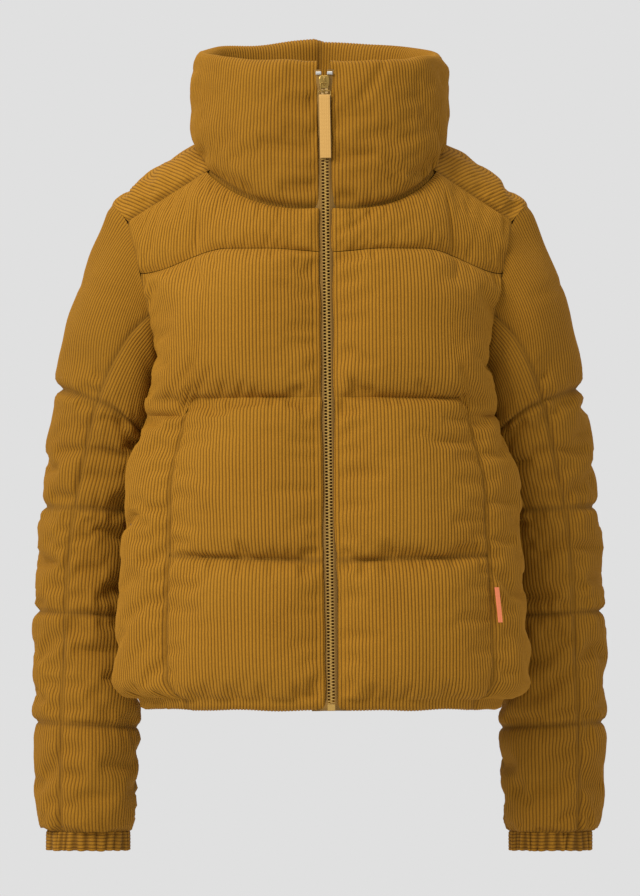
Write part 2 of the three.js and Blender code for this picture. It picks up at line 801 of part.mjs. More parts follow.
function rectangle(low, high) {
  return [[low[0], low[1]], [high[0], low[1]], [high[0], high[1]], [low[0], high[1]]];
}

function extruded(outline, holes, thickness) {
  const points = (list) => list.map(([x, y]) => new Vector2(x, y));
  const shape = new Shape(points(outline));
  holes.forEach((hole) => shape.holes.push(new Path(points(hole))));
  return new ExtrudeGeometry(shape, { depth: thickness, bevelEnabled: false });
}

// An outline in local Y and Z, extruded across X.
function acrossX(outline, holes, width) {
  const body = extruded(outline, holes, width);
  return body.rotateX(Math.PI / 2).rotateZ(Math.PI / 2).translate(-width / 2, 0, 0);
}

// An outline in local X and Z, extruded from front to back.
function throughY(outline, holes, front, back) {
  return extruded(outline, holes, back - front).rotateX(Math.PI / 2).translate(0, back, 0);
}

function makeZipSide(side) {
  const place = (name, look, low, high, steps) => {
    const from = [Math.min(low[0] * side, high[0] * side), low[1], low[2]];
    const to = [Math.max(low[0] * side, high[0] * side), high[1], high[2]];
    addPiece(sideName(name, side), closedBody(boxBetween(from, to, steps)), zipLooks[name], zip);
  };
  const tapeStart = chainHalfWidth + clearance;
  const chainTop = sliderTop - sliderPost - clearance;
  const tapeEnd = [tapeReach, tapeFace + tapeThickness, zipLength - tapeTopGap];
  place('zip_tape', 'tape', [tapeStart, tapeFace, clearance], tapeEnd, zipSteps);
  const chainStart = [chainMiddleGap, zipDepth, boxHeight + 1];
  place('zip_chain', 'teeth', chainStart, [chainHalfWidth, chainBack, chainTop], zipSteps);
  const stopBack = tapeFace - clearance;
  const stopBottom = sliderTop + clearance;
  const stopTo = [stopEnd, stopBack, stopBottom + stopHeight];
  place('top_stop', 'stop', [stopStart, stopBack - stopThickness, stopBottom], stopTo, 1);
}

const zipSteps = 12;
const zipLooks = { zip_tape: 'tape', zip_chain: 'teeth', top_stop: 'stop' };

function makeRetainer() {
  const wall = 0.9;
  const low = 0.5;
  const outer = chainHalfWidth + 0.1;
  const socketEdge = -0.7;
  const block = boxBetween([-outer, zipDepth - wall, low], [outer, chainBack + wall, boxHeight]);
  const socket = boxBetween([-outer - 1, zipDepth, -1], [socketEdge, chainBack, boxHeight + 1]);
  const body = toSolid(block).subtract(toSolid(socket));
  addPiece('retainer_box', fromSolid(body), 'teeth', zip);
  const pinGap = 0.4;
  const pinLow = [-chainHalfWidth, zipDepth + clearance, low + 0.3];
  const pinHigh = [socketEdge - pinGap, chainBack - clearance, boxHeight + 0.6];
  addPiece('insertion_pin', closedBody(boxBetween(pinLow, pinHigh)), 'teeth', zip);
}

const bridgeHalfWidth = 1.2;
const bridgeStart = sliderBottom + 3;
const bridgeEnd = sliderTop - 2;
const bridgeReach = 3.2;
const bridgeBar = 1.3;

function makeSlider() {
  const behind = chainBack + clearance;
  const plate = (face) => {
    const low = [-sliderHalfWidth, face, sliderBottom];
    return toSolid(boxBetween(low, [sliderHalfWidth, face + sliderPlate, sliderTop]));
  };
  const postLow = [-chainHalfWidth, sliderFace + sliderPlate / 2, sliderTop - sliderPost];
  const post = toSolid(boxBetween(postLow, [chainHalfWidth, behind + sliderPlate / 2, sliderTop]));
  const front = sliderFace - bridgeReach;
  const arch = rectangle([front, bridgeStart], [sliderFace + sliderPlate / 2, bridgeEnd]);
  const eyeHigh = [sliderFace, bridgeEnd - bridgeBar];
  const eye = rectangle([front + bridgeBar, bridgeStart + bridgeBar], eyeHigh);
  const bridge = toSolid(acrossX(arch, [eye], 2 * bridgeHalfWidth));
  const body = plate(sliderFace).add(plate(behind)).add(post).add(bridge);
  addPiece('zip_slider', fromSolid(body), 'metal', zip);
}

const pullWire = 0.95;
const pullThickness = 1.2;
const pullBack = sliderFace - clearance;
const pullFront = pullBack - pullThickness;
const pullTop = bridgeStart + bridgeBar + clearance + pullWire;
const frameHeight = 8.5;
const frameHalfWidth = 4;
const loopHeight = 5.3;
const loopHalfWidth = 6.9;
const ribbonLength = 64;
const ribbonEdgeGap = 0.4;
const ribbonNarrowing = 3; // how far below the loop the two bands meet
const loopTop = pullTop - frameHeight;
const loopBottom = loopTop - loopHeight;

function makePuller() {
  const outline = [
    [-loopHalfWidth, loopBottom], [loopHalfWidth, loopBottom], [loopHalfWidth, loopTop],
    [frameHalfWidth, loopTop], [frameHalfWidth, pullTop], [-frameHalfWidth, pullTop],
    [-frameHalfWidth, loopTop], [-loopHalfWidth, loopTop],
  ];
  const frameInner = frameHalfWidth - pullWire;
  const loopInner = loopHalfWidth - pullWire;
  const frameHole = rectangle([-frameInner, loopTop + pullWire / 2], [frameInner, pullTop - pullWire]);
  const loopHole = rectangle([-loopInner, loopBottom + pullWire], [loopInner, loopTop - pullWire / 2]);
  const puller = throughY(outline, [frameHole, loopHole], pullFront, pullBack);
  addPiece('zip_puller', closedBody(puller), 'metal', zip);
}

function makeRibbon() {
  const band = 0.8;
  const slack = 0.3;
  const front = pullFront - slack - band;
  const back = pullBack + slack + band;
  const top = loopBottom + pullWire + slack + band;
  const waist = loopBottom - ribbonNarrowing;
  const joined = waist - ribbonNarrowing;
  const low = top - ribbonLength;
  const near = front + band / 2;
  const far = near + 2 * band;
  const outline = [
    [front, top], [front, waist], [near, joined], [near, low],
    [far, low], [far, joined], [back, waist], [back, top],
  ];
  const eye = rectangle([front + band, loopBottom - slack], [back - band, top - band]);
  const width = 2 * (loopHalfWidth - pullWire - ribbonEdgeGap);
  addPiece('ribbon_pull', closedBody(acrossX(outline, [eye], width)), 'ribbon', zip);
}

// --- The jacket

const sides = [1, -1];
sides.forEach(makeFront);
sides.forEach(makeSide);
sides.forEach(makePocket);
makeTab();
makeBack();
makeBackLining();
makeYoke();
const collarInside = Math.max(...sides.map(makeCollar));
makeNeckTrim(collarInside);
sides.forEach(makeSleeve);
sides.forEach(makeZipSide);
makeRetainer();
makeSlider();
makePuller();
makeRibbon();

export default model;
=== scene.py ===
import math

import bpy
import numpy as np
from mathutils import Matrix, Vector


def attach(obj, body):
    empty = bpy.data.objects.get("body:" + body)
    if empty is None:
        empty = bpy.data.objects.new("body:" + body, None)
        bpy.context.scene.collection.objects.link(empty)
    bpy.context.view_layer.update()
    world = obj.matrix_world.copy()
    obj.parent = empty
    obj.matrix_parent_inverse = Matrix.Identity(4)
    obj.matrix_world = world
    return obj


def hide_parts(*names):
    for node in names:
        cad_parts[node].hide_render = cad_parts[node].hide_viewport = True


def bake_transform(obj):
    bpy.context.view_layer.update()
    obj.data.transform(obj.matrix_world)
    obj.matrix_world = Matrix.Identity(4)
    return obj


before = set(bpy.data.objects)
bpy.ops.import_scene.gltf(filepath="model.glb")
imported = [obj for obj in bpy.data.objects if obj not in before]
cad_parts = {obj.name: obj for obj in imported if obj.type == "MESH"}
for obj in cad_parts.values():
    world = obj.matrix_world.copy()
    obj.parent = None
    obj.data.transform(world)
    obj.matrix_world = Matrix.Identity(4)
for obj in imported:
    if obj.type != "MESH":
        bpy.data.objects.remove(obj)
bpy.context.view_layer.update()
mm = 0.001


# Blends and small sums. Lengths are millimetres until a mesh is made.
def lerp(a, b, share):
    return a + (b - a) * share


def smooth(value):
    share = np.clip(value, 0.0, 1.0)
    return share * share * (3 - 2 * share)


def vec(x, y, z):
    return np.stack(np.broadcast_arrays(x, y, z), axis=-1).astype(float)


def profile(levels, height):
    heights = np.array([level[0] for level in levels], float)
    values = np.array([level[1] for level in levels], float)
    upper = np.clip(np.searchsorted(heights, height), 1, len(levels) - 1)
    share = smooth((height - heights[upper - 1]) / (heights[upper] - heights[upper - 1]))
    return lerp(values[upper - 1], values[upper], share)


def unit(vectors):
    return vectors / np.maximum(np.linalg.norm(vectors, axis=-1, keepdims=True), 1e-9)


def mixPoints(a, b, share):
    return a + (b - a) * np.asarray(share)[..., None]


# A few sine waves in odd directions make an even, repeatable unevenness.
def unevenness(points, size, seed, stretch=(1, 1, 1)):
    waves = np.random.default_rng(seed)
    total = np.zeros(points.shape[:-1])
    for _ in range(9):
        direction = unit(waves.normal(size=3)) / np.array(stretch)
        turn = waves.uniform(0, 2 * math.pi)
        total += np.sin(points @ direction * (2 * math.pi / size) * waves.uniform(0.6, 1.5) + turn)
    return total / 3


def ripple(along, size, seed):
    waves = np.random.default_rng(seed)
    total = np.zeros(np.shape(along))
    for _ in range(5):
        pace = waves.uniform(0.55, 1.6)
        total += np.sin(along * (2 * math.pi / size) * pace + waves.uniform(0, 2 * math.pi))
    return total / 2.2


# Quads over a grid of points, row by row
def gridQuads(rows, columns, start=0, closed=False):
    quads = []
    for row in range(rows - 1):
        for column in range(columns if closed else columns - 1):
            right = (column + 1) % columns
            a, b = start + row * columns, start + (row + 1) * columns
            quads.append((a + column, a + right, b + right, b + column))
    return quads


# A closed tube of rings with both its ends shut
def cappedQuads(rings, around):
    last = around * (rings - 1)
    ends = [tuple(reversed(range(around))), tuple(range(last, last + around))]
    return gridQuads(rings, around, closed=True) + ends


# A grid with one more row and column on each side, carried straight on
def widened(grid, reach=1):
    far = 1 + reach
    left, right = far * grid[:, :1] - reach * grid[:, 1:2], far * grid[:, -1:] - reach * grid[:, -2:-1]
    wide = np.concatenate([left, grid, right], axis=1)
    return np.concatenate([far * wide[:1] - reach * wide[1:2], wide, far * wide[-1:] - reach * wide[-2:-1]])


# A half surface, whose columns end at the centre back, carried on over the other side
def mirrored(points, sigma):
    points[..., 0] *= np.sign(sigma)
    return points


# The garment's surfaces, on the wearer's left
body = {
    "hem": -560,
    "armpit": -250,
    "neckFront": -58,
    "neckBackRise": 14,
    "neckBackDepth": 88,
    "neckHalfWidth": 127,
    "collarFrontRise": 82,
    "collarBackRise": 107,
    "roundness": 2.3,
    "underarm": math.radians(97),
    "yokeAngle": math.radians(67),
    "neckColumn": 0.62,
    "armholeColumn": 0.45,
    "zipHalfGap": 7.5,
}


def frontLine(z):
    return -140 + (z + 560) * 0.0498


def backLine(z):
    return profile([(-560, 118), (-436, 128), (0, 122)], z)


def frontHalfWidth(z):
    return profile([(-560, 190), (-529, 213), (-498, 213), (-345, 205), (-250, 182)], z)


def backHalfWidth(z):
    return np.minimum(profile([(-560, 166), (-405, 164), (-250, 158)], z), frontHalfWidth(z))


def ringPoint(angle, z):
    angle, z = np.broadcast_arrays(np.asarray(angle, float), np.asarray(z, float))
    middle = (frontLine(z) + backLine(z)) / 2
    half = (backLine(z) - frontLine(z)) / 2
    turn = np.cos(angle)
    y = middle - half * np.sign(turn) * np.abs(turn) ** (2 / body["roundness"])
    width = lerp(backHalfWidth(z), frontHalfWidth(z), smooth((12 - y) / 55))
    return vec(width * np.maximum(0, np.sin(angle)) ** (2 / body["roundness"]), y, z)


def neckRing(angle, low, high, climb):
    front = frontLine(low)
    middle = (front + body["neckBackDepth"]) / 2
    half = (body["neckBackDepth"] - front) / 2
    x = body["neckHalfWidth"] * np.maximum(0, np.sin(angle)) ** 0.91
    return vec(x, middle - half * np.cos(angle), lerp(low, high, climb))


def neckPoint(angle):
    climb = smooth(np.degrees(angle) / 115) ** 1.25
    return neckRing(angle, body["neckFront"], body["neckBackRise"], climb)


def rimPoint(angle):
    return neckRing(angle, body["collarFrontRise"], body["collarBackRise"], (1 - np.cos(angle)) / 2)


underarm = ringPoint(body["underarm"], body["armpit"])
shoulderTip = vec(211, 5, -57)
shoulderFront = vec(197, -27, -69)
shoulderBack = vec(196, 58, -110)
neckFrontCorner = neckPoint(body["yokeAngle"])
frontPull = vec(171, -88, -195)
backPull = vec(183, 108, -200)
tipPull = 2 * shoulderTip - (shoulderFront + shoulderBack) / 2


def bend(a, pull, b, share):
    return mixPoints(mixPoints(a, pull, share), mixPoints(pull, b, share), share)


def armholeFront(t):
    return bend(underarm, frontPull, shoulderFront, np.asarray(t, float))


def armholeBack(t):
    return bend(underarm, backPull, shoulderBack, np.asarray(t, float))


def armholeTop(share):
    return bend(shoulderFront, tipPull, shoulderBack, np.asarray(share, float))


def stretched(bottom, top, left, right, s, t):
    point = mixPoints(bottom(s), top(s), t) + mixPoints(left(t), right(t), s)
    corners = mixPoints(
        mixPoints(bottom(np.zeros_like(s)), bottom(np.ones_like(s)), s),
        mixPoints(top(np.zeros_like(s)), top(np.ones_like(s)), s),
        t,
    )
    return point - corners


def frontTop(s):
    column = body["neckColumn"]
    neck = neckPoint(np.minimum(s / column, 1) * body["yokeAngle"])
    seam = mixPoints(neckFrontCorner, shoulderFront, (s - column) / (1 - column))
    return np.where((s <= column)[..., None], neck, seam)


def frontEdge(t):
    z = lerp(body["armpit"], body["neckFront"], t)
    return vec(0, frontLine(z), z)


def centreBack(t):
    z = lerp(body["armpit"], -110, t)
    return vec(0, backLine(z), z)


def cutBack(point, s):
    point = point.copy()
    point[..., 0] += body["zipHalfGap"] * np.maximum(0, 1 - s / 0.6) ** 2
    return point


# s runs from the zip to the side; height is z below the underarm and carries on to the neck above it.
def wholeFront(s, height):
    s, height = np.broadcast_arrays(np.asarray(s, float), np.asarray(height, float))
    t = (height - body["armpit"]) / (body["neckFront"] - body["armpit"])
    upper = stretched(
        lambda share: ringPoint(share * body["underarm"], body["armpit"]),
        frontTop, frontEdge, armholeFront, s, np.clip(t, 0, 1),
    )
    lower = ringPoint(s * body["underarm"], np.minimum(height, body["armpit"]))
    return cutBack(np.where((t > 0)[..., None], upper, lower), s)


def backSeam(s):
    bow = np.sin(s * math.pi / 2)
    return vec(196 * (1 - s), lerp(58, backLine(-110.0), bow), -110)


def wholeBack(s, height):
    s, height = np.broadcast_arrays(np.asarray(s, float), np.asarray(height, float))
    t = (height - body["armpit"]) / (-110 - body["armpit"])
    angle = lerp(body["underarm"], math.pi, s)
    upper = stretched(
        lambda share: ringPoint(lerp(body["underarm"], math.pi, share), body["armpit"]),
        backSeam, armholeBack, centreBack, s, np.clip(t, 0, 1),
    )
    lower = ringPoint(angle, np.minimum(height, body["armpit"]))
    return np.where((t > 0)[..., None], upper, lower)


def inward(points):
    aim = vec(points[..., 0] * 0.45, -10, np.minimum(points[..., 2], -110))
    return unit(aim - points)


def yokeSurface(s, t):
    column = body["armholeColumn"]
    early = armholeTop(np.minimum(s / column, 1))
    late = backSeam(np.clip((s - column) / (1 - column), 0, 1))
    outer = np.where((s <= column)[..., None], early, late)
    point = mixPoints(outer, neckPoint(lerp(body["yokeAngle"], math.pi, s)), t)
    swell = 9 * 4 * t * (1 - t) * smooth(s * 6)
    return point - inward(point) * swell[..., None]


def collarAngle(s):
    column = body["neckColumn"]
    late = lerp(body["yokeAngle"], math.pi, (s - column) / (1 - column))
    return np.where(s <= column, s / column * body["yokeAngle"], late)


def collarSurface(s, t):
    angle = collarAngle(s)
    return cutBack(mixPoints(neckPoint(angle), rimPoint(angle), t), s)


# The whole jacket hangs with its zip a little to the wearer's left.
def settled(points, side):
    points = points.copy()
    shift = lerp(12, 4.5, (points[..., 2] + 560) / 642)
    points[..., 0] = points[..., 0] * side + shift * smooth((-points[..., 1] - 10) / 105)
    return points


# The sleeve: rings from the shoulder to the wrist, each an outer and an inner point
sleeveRings = {
    "outer": (
        (240, -125), (256, -205), (269, -290), (281, -397),
        (286, -502), (286, -593), (283, -662), (277, -685),
    ),
    "inner": (
        (172, -270), (172, -295), (172, -330), (187, -397),
        (182, -502), (182, -593), (185, -662), (191, -685),
    ),
    "half": [66, 62, 58, 54, 52, 52, 48, 43],
    "y": [14, 30, 44, 55, 55, 49, 47, 47],
}


def throughRings(values, row):
    values = np.array(values, float)
    first = 2 * values[0] - values[1]
    last = 2 * values[-1] - values[-2]
    ends = np.concatenate([[first], values, [last]])
    row = np.clip(row - 1, 0, len(values) - 1)
    index = np.minimum(row.astype(int), len(values) - 2)
    f = row - index
    a, b, c, d = (ends[index + k] for k in range(4))
    return 0.5 * (2 * b + (c - a) * f + (2 * a - 5 * b + 4 * c - d) * f**2 + (3 * b - a - 3 * c + d) * f**3)


def armhole(turn):
    front = armholeFront(np.interp(turn, [180, 210, 240, 270, 300, 335], [0, 0.22, 0.45, 0.7, 0.85, 1]))
    top = armholeTop(np.interp(turn, [335, 395], [0, 1]))
    back = armholeBack(np.interp(turn, [395, 423, 451, 479, 507, 540], [1, 0.85, 0.7, 0.45, 0.22, 0]))
    point = np.where((turn < 335)[..., None], front, top)
    return np.where((turn > 395)[..., None], back, point)


def sleeveSurface(turn, row):
    turn, row = np.broadcast_arrays(np.asarray(turn, float), np.asarray(row, float))

    def ring(name, axis):
        return throughRings([point[axis] for point in sleeveRings[name]], row)

    outerX, outerZ, innerX, innerZ = ring("outer", 0), ring("outer", 1), ring("inner", 0), ring("inner", 1)
    angle = np.radians(turn)
    x = (outerX + innerX) / 2 + (outerX - innerX) / 2 * np.cos(angle)
    z = (outerZ + innerZ) / 2 + (outerZ - innerZ) / 2 * np.cos(angle)
    y = throughRings(sleeveRings["y"], row) + throughRings(sleeveRings["half"], row) * np.sin(angle)
    around = vec(x, y, z)
    head = armhole(turn)
    return np.where((row < 1)[..., None], mixPoints(head, around, np.clip(row, 0, 1)), around)


# Cloth: every padded panel is blown up between its stitched lines, all in one run
clothRun = {
    "frames": 34,
    "quality": 5,
    "mass": 0.02,
    "tension": 60,
    "compression": 9,
    "shear": 5,
    "bending": 0.12,
    "airDamping": 3.0,
    "unit": 100.0,
    "quickPuff": 9,
    "startHeight": 0.7,
    "startSize": 42,
}
waiting = {}


def outward(grid):
    wide = widened(grid)
    return unit(np.cross(wide[1:-1, 2:] - wide[1:-1, :-2], wide[2:, 1:-1] - wide[:-2, 1:-1]))


# held is 1 where the cloth is stitched down; grid rows run up and columns run across, facing out.
def awaitCloth(name, grid, held, pressure, slack, seed):
    start = grid + outward(grid) * (
        clothRun["startHeight"] * unevenness(grid, clothRun["startSize"], seed) * (1 - held)
    )[..., None]
    mesh = bpy.data.meshes.new(name)
    points = start.reshape(-1, 3) / clothRun["unit"]
    mesh.from_pydata(points.tolist(), [], gridQuads(*grid.shape[:2]))
    piece = bpy.data.objects.new("cloth-" + name, mesh)
    bpy.context.scene.collection.objects.link(piece)
    group = piece.vertex_groups.new(name="held")
    weights = held.reshape(-1).round(2)
    for level in np.unique(weights):
        group.add(np.flatnonzero(weights == level).tolist(), float(level), "REPLACE")
    cloth = piece.modifiers.new("padding", "CLOTH")
    settings = cloth.settings
    settings.quality = clothRun["quality"]
    settings.mass = clothRun["mass"]
    settings.tension_stiffness = clothRun["tension"]
    settings.compression_stiffness = clothRun["compression"]
    settings.shear_stiffness = clothRun["shear"]
    settings.bending_stiffness = clothRun["bending"]
    settings.air_damping = clothRun["airDamping"]
    settings.vertex_group_mass = "held"
    settings.use_pressure = True
    settings.uniform_pressure_force = pressure
    settings.shrink_min = -slack
    settings.effector_weights.gravity = 0
    cloth.collision_settings.use_collision = False
    cloth.point_cache.frame_start = 1
    cloth.point_cache.frame_end = clothRun["frames"]
    waiting[name] = (piece, grid, held)


# Runs every waiting panel and hands back its settled grid.
def settleCloth():
    scene = bpy.context.scene
    first = scene.frame_current
    for number in range(1, clothRun["frames"] + 1):
        scene.frame_set(number)
    depsgraph = bpy.context.evaluated_depsgraph_get()
    result = {}
    for name, (piece, grid, held) in waiting.items():
        mesh = piece.evaluated_get(depsgraph).to_mesh()
        flat = np.empty(len(mesh.vertices) * 3, np.float32)
        mesh.vertices.foreach_get("co", flat)
        piece.evaluated_get(depsgraph).to_mesh_clear()
        result[name] = flat.astype(float).reshape(grid.shape) * clothRun["unit"]
    for piece, _, _ in waiting.values():
        mesh = piece.data
        bpy.data.objects.remove(piece)
        bpy.data.meshes.remove(mesh)
    waiting.clear()
    scene.frame_set(first)
    return result


# Weaving: fine columns follow the corduroy's ridges, whatever the panel's outline
corduroyCloth = {
    "pitch": 3.4,
    "ridge": 0.8,
    "across": (0.0, 0.15, 0.38, 0.62, 0.85),
    "heights": (0.0, 0.62, 1.0, 1.0, 0.62),
    "nearStep": 2.4,
    "farStep": 4.6,
    "calm": 20,
    "middle": 0.6,
}


def waleHeight(turns):
    places = corduroyCloth["across"] + (1.0,)
    return np.interp(turns - np.floor(turns), places, corduroyCloth["heights"] + (0.0,))


def catmull(f):
    return np.stack([
        (-f + 2 * f**2 - f**3) / 2, (2 - 5 * f**2 + 3 * f**3) / 2,
        (f + 4 * f**2 - 3 * f**3) / 2, (f**3 - f**2) / 2,
    ])


def onGrid(grid, row, column):
    rows, columns = grid.shape[:2]
    wide = widened(grid)
    row = np.clip(row, 0, rows - 1)
    column = np.clip(column, 0, columns - 1)
    r = np.minimum(row.astype(int), rows - 2)
    c = np.minimum(column.astype(int), columns - 2)
    rowWeights, columnWeights = catmull(row - r), catmull(column - c)
    total = 0
    for i in range(4):
        for j in range(4):
            share = (rowWeights[i] * columnWeights[j])[..., None]
            total = total + share * wide[r + i, c + j]
    return total


# Row positions, closer together beside the seams.
def spacedRows(heights, seams):
    near, far = corduroyCloth["nearStep"], corduroyCloth["farStep"]
    at = [heights[0]]
    while at[-1] < heights[-1] - near:
        gap = min(abs(at[-1] + near - seam) for seam in seams)
        at.append(at[-1] + lerp(near, far, float(smooth(gap / corduroyCloth["calm"]))))
    at = np.array(at + list(seams) + [heights[-1]])
    at = np.unique(np.round(at[at <= heights[-1]], 3))
    keep = [at[0]]
    for value in at[1:]:
        if value - keep[-1] > 0.45 * near or value in seams:
            keep.append(value)
    return np.array(keep)


def arcAcross(grid, originColumn):
    steps = np.linalg.norm(np.diff(grid, axis=1), axis=-1)
    length = np.concatenate([np.zeros((grid.shape[0], 1)), np.cumsum(steps, axis=1)], axis=1)
    columns = np.arange(grid.shape[1])
    start = np.array([np.interp(originColumn[row], columns, length[row]) for row in range(grid.shape[0])])
    return length - start[:, None]


# For each row, where on the coarse grid every part of every wale lies
def alongWales(reach):
    pitch, parts = corduroyCloth["pitch"], np.array(corduroyCloth["across"])
    first, last = math.floor(reach.min() / pitch), math.ceil(reach.max() / pitch)
    number = np.arange((last - first) * len(parts) + 1)
    g = (number // len(parts) + first + parts[number % len(parts)]) * pitch
    columns = reach.shape[1]
    fine = np.linspace(0, columns - 1, columns * 3)
    columnAt = np.empty((len(reach), len(g)))
    for index, row in enumerate(reach):
        spread = np.interp(fine, np.arange(columns), row)
        order = np.argsort(spread)
        columnAt[index] = np.interp(g, spread[order], fine[order])
    return np.repeat(g[None], len(reach), axis=0), columnAt


# Even columns for a piece whose wales run askew; each point still knows its place across its wale.
def evenColumns(reach, count):
    columns = reach.shape[1]
    columnAt = np.repeat(np.linspace(0, columns - 1, count)[None], len(reach), axis=0)
    g = np.array([np.interp(columnAt[0], np.arange(columns), row) for row in reach])
    return g, columnAt


# Which way the settled cloth faces, at each woven point
def clothNormal(blown, row, column):
    step = 0.25
    rows, columns = blown.shape[:2]
    right = onGrid(blown, row, np.minimum(column + step, columns - 1))
    left = onGrid(blown, row, np.maximum(column - step, 0))
    upper = onGrid(blown, np.minimum(row + step, rows - 1), column)
    lower = onGrid(blown, np.maximum(row - step, 0), column)
    return unit(np.cross(right - left, upper - lower))


# How the cloth meets its stitching, in millimetres
stitching = {
    "valley": 1.5,
    "valleyWidth": 1.9,
    "borderWidth": 3.2,
    "seamPucker": {"height": 0.8, "size": 15, "reach": 11, "slant": 0.25},
    "borderPucker": {"height": 0.7, "size": 14, "reach": 8, "slant": 0.2},
    "settle": 6,
    "flatRidge": 0.2,
    "waveHeight": 0.8,
    "waveSize": 60,
}


def falling(distance, width):
    return np.exp(-((distance / width) ** 2))


# A corduroy piece from a settled grid. seamRows are rows stitched down, edges and ends say how far each
# border dives, shape adds folds, grooves run beside a column, and dense is the step of an even grid.
def weave(name, base, blown, seamRows, originColumn, across=None, edges=(3.0, 3.0), ends=(3.0, 3.0),
          shape=None, seed=1, grooves=(), ridge=None, dense=None, out=None):
    rows, columns = base.shape[:2]
    coarse = arcAcross(base, originColumn) if across is None else across
    up = np.linalg.norm(np.diff(base, axis=0), axis=-1).mean(axis=1)
    heights = np.concatenate([[0], np.cumsum(up)])
    seams = [heights[row] for row in seamRows]
    if dense:
        level = np.linspace(0, heights[-1], int(heights[-1] / dense))
    else:
        level = spacedRows(heights, sorted(set([heights[0], heights[-1]] + seams)))
    rowAt = np.interp(level, heights, np.arange(rows))
    low = np.minimum(rowAt.astype(int), rows - 2)
    share = (rowAt - low)[:, None]
    reach = coarse[low] * (1 - share) + coarse[low + 1] * share
    lowSide, highSide = reach.min(axis=1)[:, None], reach.max(axis=1)[:, None]
    if dense:
        gAt, columnAt = evenColumns(reach, int(arcAcross(base, originColumn)[0].max() / dense))
        length = np.interp(
            rowAt, np.arange(rows), np.linalg.norm(np.diff(base, axis=1), axis=-1).sum(axis=1)
        )
        fromLow = columnAt / (columns - 1) * length[:, None]
        fromHigh = length[:, None] - fromLow
    else:
        gAt, columnAt = alongWales(reach)
        fromLow, fromHigh = gAt - lowSide, highSide - gAt
    fromLow, fromHigh = np.maximum(fromLow, 0), np.maximum(fromHigh, 0)
    rowGrid = np.repeat(rowAt[:, None], gAt.shape[1], axis=1)
    points = onGrid(blown, rowGrid, columnAt)
    normal = clothNormal(blown, rowGrid, columnAt)
    dive = unit(onGrid(outward(base) if out is None else out, rowGrid, columnAt))
    along = np.repeat(level[:, None], gAt.shape[1], axis=1)
    fromSeam = np.full(along.shape, 99.0)
    if seams:
        fromSeam = np.min([np.abs(along - seam) for seam in seams], axis=0)
    fromSide = np.minimum(fromLow, fromHigh)
    pucker = stitching["seamPucker"]
    waves = ripple(gAt + pucker["slant"] * along, pucker["size"], seed)
    move = pucker["height"] * waves * np.exp(-fromSeam / pucker["reach"])
    pucker = stitching["borderPucker"]
    waves = ripple(along + pucker["slant"] * gAt, pucker["size"], seed + 1)
    move += pucker["height"] * waves * np.exp(-fromSide / pucker["reach"])
    for place, depth, width in grooves:
        move -= depth * falling(np.abs(gAt) - place, width)
    wide = stitching["borderWidth"]
    fromBottom, fromTop = along - level[0], level[-1] - along
    sink = stitching["valley"] * falling(fromSeam, stitching["valleyWidth"])
    sink += edges[0] * falling(fromLow, wide) + edges[1] * falling(fromHigh, wide)
    sink += ends[0] * falling(fromBottom, wide) + ends[1] * falling(fromTop, wide)
    move += stitching["waveHeight"] * unevenness(points, stitching["waveSize"], seed + 2)
    if shape is not None:
        move += shape(points)
    tall = corduroyCloth["ridge"] if ridge is None else ridge
    border = np.min([fromSeam, fromSide, fromBottom, fromTop], axis=0)
    settle = smooth(border / stitching["settle"])
    height = waleHeight(gAt / corduroyCloth["pitch"])
    ridges = tall * lerp(stitching["flatRidge"], 1, settle) * (height - corduroyCloth["middle"])
    points = points + normal * (settle * move + ridges)[..., None] - dive * sink[..., None]
    outside = (gAt < lowSide - 1e-6) | (gAt > highSide + 1e-6)
    return meshFromGrid(name, points, height, gAt, along, outside, np.minimum(fromSeam, fromSide))


# Points outside the outline close up on the last one inside it.
def meshFromGrid(name, points, ridgeValue, g, along, outside, shade):
    rows, columns = points.shape[:2]
    number = np.arange(rows * columns).reshape(rows, columns)
    for row in range(rows):
        inside = np.flatnonzero(~outside[row])
        if len(inside) == 0:
            continue
        number[row, : inside[0]] = number[row, max(inside[0] - 1, 0)]
        number[row, inside[-1] + 1 :] = number[row, min(inside[-1] + 1, columns - 1)]
    a, b = number[:-1, :-1].ravel(), number[:-1, 1:].ravel()
    c, d = number[1:, 1:].ravel(), number[1:, :-1].ravel()
    quads = np.stack([a, b, c, d], axis=1)
    faces = []
    for quad in quads[(a != b) | (c != d)].tolist():
        corners = list(dict.fromkeys(quad))
        if len(corners) > 2:
            faces.append(corners)
    used, where = np.unique(np.concatenate([np.array(face) for face in faces]), return_inverse=True)
    pieces, start = [], 0
    for face in faces:
        pieces.append(where[start : start + len(face)].tolist())
        start += len(face)
    # seam holds the distance from seams and edges that drives the painted seam shade.
    attributes = (("ridge", ridgeValue), ("across", g), ("along", along), ("seam", shade))
    attributes = [(key, values.reshape(-1)[used]) for key, values in attributes]
    return plainMesh(name + "_corduroy", points.reshape(-1, 3)[used], pieces, attributes)


def plainMesh(name, points, faces, attributes=()):
    mesh = bpy.data.meshes.new(name)
    mesh.from_pydata((np.asarray(points) * mm).tolist(), [], faces)
    for key, values in attributes:
        layer = mesh.attributes.new(key, "FLOAT", "POINT")
        layer.data.foreach_set("value", np.asarray(values, np.float32))
    mesh.shade_smooth()
    piece = bpy.data.objects.new(name, mesh)
    bpy.context.scene.collection.objects.link(piece)
    return piece


# Panel grids. Every outer grid starts a little inside the finished surface, where its stitching lies.
quilting = {
    "inset": 2.8,
    "pressure": 1.6,
    "slack": 0.05,
    "hemCurl": ((18, -545), (15.5, -554), (11, -559.5), (6.5, -557), (4, -549)),
    "foldDepths": ((13, 1.5), (8, 0.3), (3.5, -0.2)),
}


# The seam at the shoulder's tip stands nearly flush; s is the yoke's column.
def tipInset(s):
    return lerp(quilting["inset"], 0.6, smooth(s / 0.1) * (1 - smooth((s - 0.35) / 0.1)))


